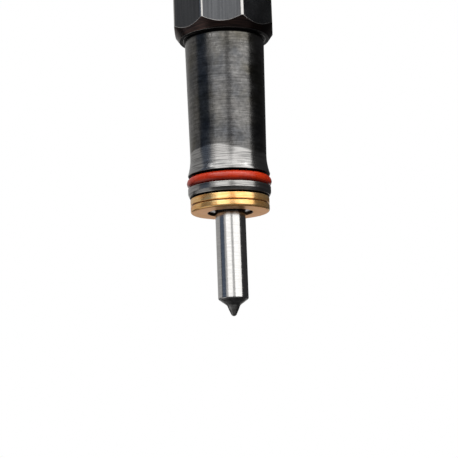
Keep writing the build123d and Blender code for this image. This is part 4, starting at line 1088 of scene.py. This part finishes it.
INLET_HEX_X = (17.0, 23.0)
INLET_ACROSS = 19.0
INLET_FACE_R = 9.3
INLET_SLOPE = 0.54
INLET_FILLET = 0.6
SPIGOT_RELIEF = 0.7
THREAD_RELIEF = 1.1
THREAD_R = 7.0
THREAD_PITCH = 1.5
THREAD_DEPTH = 0.85
THREAD_STEPS = 14  # points along one turn
INLET_BORE_R = 1.6
CONE_MOUTH_R = 4.0
FILTER_SEAT_X = 24.0
NIPPLE_FLANGE = 2.5
NIPPLE_R = 4.0
NIPPLE_END_R = 3.4
NIPPLE_GROOVE_R = 3.2
NIPPLE_GROOVE_Z = (151.0, 152.8)


def thread(start, end, angle):
    """Points along a screw thread at one angle: flat crests and roots, running out at both ends."""
    points = []
    count = round((end - start) / THREAD_PITCH * THREAD_STEPS)
    for number in range(count + 1):
        along = start + (end - start) * number / count
        phase = (along / THREAD_PITCH - angle / (2 * pi)) % 1.0
        depth = min(1.0, max(0.0, 1.25 * abs(2 * phase - 1) - 0.15))
        run_out = min(1.0, (along - start) / THREAD_PITCH, (end - along) / THREAD_PITCH)
        points.append((THREAD_R - THREAD_DEPTH * depth * max(0.0, run_out), along, 0.5 * (1 - depth)))
    return points


def make_inlet():
    (start, _, _), (end, _, _) = box_mm("inlet_connector")
    hex_low, hex_high = INLET_HEX_X
    cone_depth = (CONE_MOUTH_R - INLET_BORE_R) / tan(radians(30))
    columns = []
    for angle, flat_r, worn in polygon(INLET_ACROSS, HEX_SIDES, INLET_FILLET, turned=pi / 6):
        lift = (flat_r - INLET_FACE_R) * INLET_SLOPE
        body = [
            (CROSS_BORE_R, FILTER_SEAT_X, 0.0),
            (CROSS_BORE_R, start, 0.1),
            (SPIGOT_R, start, 0.5),
            (SPIGOT_R, hex_low - 0.8, 0.0),
            (SPIGOT_R - SPIGOT_RELIEF, hex_low - 0.8, 0.0),
            (SPIGOT_R - SPIGOT_RELIEF, hex_low, 0.0),
            (INLET_FACE_R, hex_low, 0.1),
            (flat_r, hex_low + lift, 0.15),
            (flat_r, hex_high - lift, 0.15),
            (INLET_FACE_R, hex_high, 0.1),
            (THREAD_R - THREAD_RELIEF, hex_high, 0.2),
            (THREAD_R - THREAD_RELIEF, hex_high + 1.6, 0.2),
            (THREAD_R, hex_high + 2.2, 0.1),
        ]
        mouth = [
            (THREAD_R, end - 0.8, 0.1),
            (THREAD_R - 0.8, end, 0.15),
            (CONE_MOUTH_R, end, 0.15),
            (INLET_BORE_R, end - cone_depth, 0.1),
            (INLET_BORE_R, FILTER_SEAT_X, 0.0),
        ]
        outline = rounded(body + mouth)
        split = len(rounded(body))
        outline[split:split] = thread(hex_high + 2.5, end - 1.0, angle)
        columns.append(flat_points(outline, angle, flat_r, worn))
    finish_piece(skin("inlet_union", columns, INLET_STAND), "inlet_connector")


def make_nipple():
    low, high = box_mm("return_stub")
    flange_r = outer_r("return_stub")
    corners = [
        (RETURN_BORE_R, low[2], 0.0),
        (flange_r, low[2], 0.1),
        (flange_r, low[2] + NIPPLE_FLANGE, 0.2),
        (NIPPLE_R, low[2] + NIPPLE_FLANGE, 0.0),
        (NIPPLE_R, NIPPLE_GROOVE_Z[0], 0.15),
        (NIPPLE_GROOVE_R, NIPPLE_GROOVE_Z[0] + 0.2, 0.2),
        (NIPPLE_GROOVE_R, NIPPLE_GROOVE_Z[1] - 0.2, 0.2),
        (NIPPLE_R, NIPPLE_GROOVE_Z[1], 0.15),
        (NIPPLE_R, high[2] - 0.8, 0.3),
        (NIPPLE_END_R, high[2], 0.2),
        (RETURN_BORE_R + 0.4, high[2], 0.1),
        (RETURN_BORE_R, high[2] - 0.4, 0.1),
    ]
    finish_piece(lathe("leak_off_nipple", corners), "return_stub")


make_inlet()
make_nipple()

# ---------------------------------------------------------------- springs

WIRE_SIDES = 16
TURN_STEPS = 40
NEEDLE_SPRING = (2.85, 0.5, 7)  # middle radius, wire radius and turns
VALVE_SPRING = (2.25, 0.4, 8)
ARMATURE_SPRING = (2.2, 0.2, 1.5)


def wire_ring(turn, slope, middle_r, wire_r, level):
    """The round section of a spring's wire, square to the helix."""
    out = Vector((cos(turn), sin(turn), 0))
    along = Vector((-sin(turn) * cos(slope), cos(turn) * cos(slope), sin(slope)))
    middle = out * middle_r + Vector((0, 0, level))
    angles = [2 * pi * side / WIRE_SIDES for side in range(WIRE_SIDES)]
    return [middle + (out * cos(angle) + along.cross(out) * sin(angle)) * wire_r for angle in angles]


def make_spring(name, node, spring):
    """A helical spring that fills its node's height, from its foot to its head."""
    middle_r, wire_r, turns = spring
    (_, _, low), (_, _, high) = box_mm(node)
    climb = high - low - 2 * wire_r
    slope = atan2(climb, 2 * pi * middle_r * turns)
    steps = round(turns * TURN_STEPS)
    bm = bmesh.new()
    rings = []
    for step in range(steps + 1):
        level = low + wire_r + climb * step / steps
        ring = wire_ring(2 * pi * step / TURN_STEPS, slope, middle_r, wire_r, level)
        rings.append([bm.verts.new(place * MM) for place in ring])
    for first, second in zip(rings, rings[1:]):
        for side in range(WIRE_SIDES):
            bm.faces.new((first[side - 1], first[side], second[side], second[side - 1]))
    bm.faces.new(rings[0])
    bm.faces.new(rings[-1])
    bmesh.ops.recalc_face_normals(bm, faces=bm.faces)
    for face in bm.faces:
        face.smooth = True
    mesh = bpy.data.meshes.new(name)
    bm.to_mesh(mesh)
    bm.free()
    piece = bpy.data.objects.new(name, mesh)
    bpy.context.scene.collection.objects.link(piece)
    stand_for(piece, node)
    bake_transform(piece)


make_spring("nozzle_spring", "needle_spring", NEEDLE_SPRING)
make_spring("solenoid_spring", "valve_spring", VALVE_SPRING)
make_spring("plate_spring", "armature_spring", ARMATURE_SPRING)

# ---------------------------------------------------------------- floor

FLOOR_DROP = 0.30
FLOOR_SIDE = 36.0


def make_floor():
    bm = bmesh.new()
    bmesh.ops.create_grid(bm, x_segments=24, y_segments=24, size=FLOOR_SIDE / 2)
    mesh = bpy.data.meshes.new("floor")
    bm.to_mesh(mesh)
    bm.free()
    floor = bpy.data.objects.new("floor", mesh)
    bpy.context.scene.collection.objects.link(floor)
    floor.location.z = CAD_BOX[0][2] - FLOOR_DROP
    floor.visible_glossy = False
    floor.visible_diffuse = False
    floor.visible_shadow = False
    g = Graph("pale_floor")
    paper = g.noise(40.0, 4.0)
    color = g.blend(paper, (0.86, 0.86, 0.86), (0.9, 0.9, 0.9))
    mesh.materials.append(g.done(color, 0.7, g.bump(paper, 0.1 * MM)))
    g.shader.inputs["Emission Color"].default_value = (1, 1, 1, 1)
    g.shader.inputs["Emission Strength"].default_value = 0.8


make_floor()
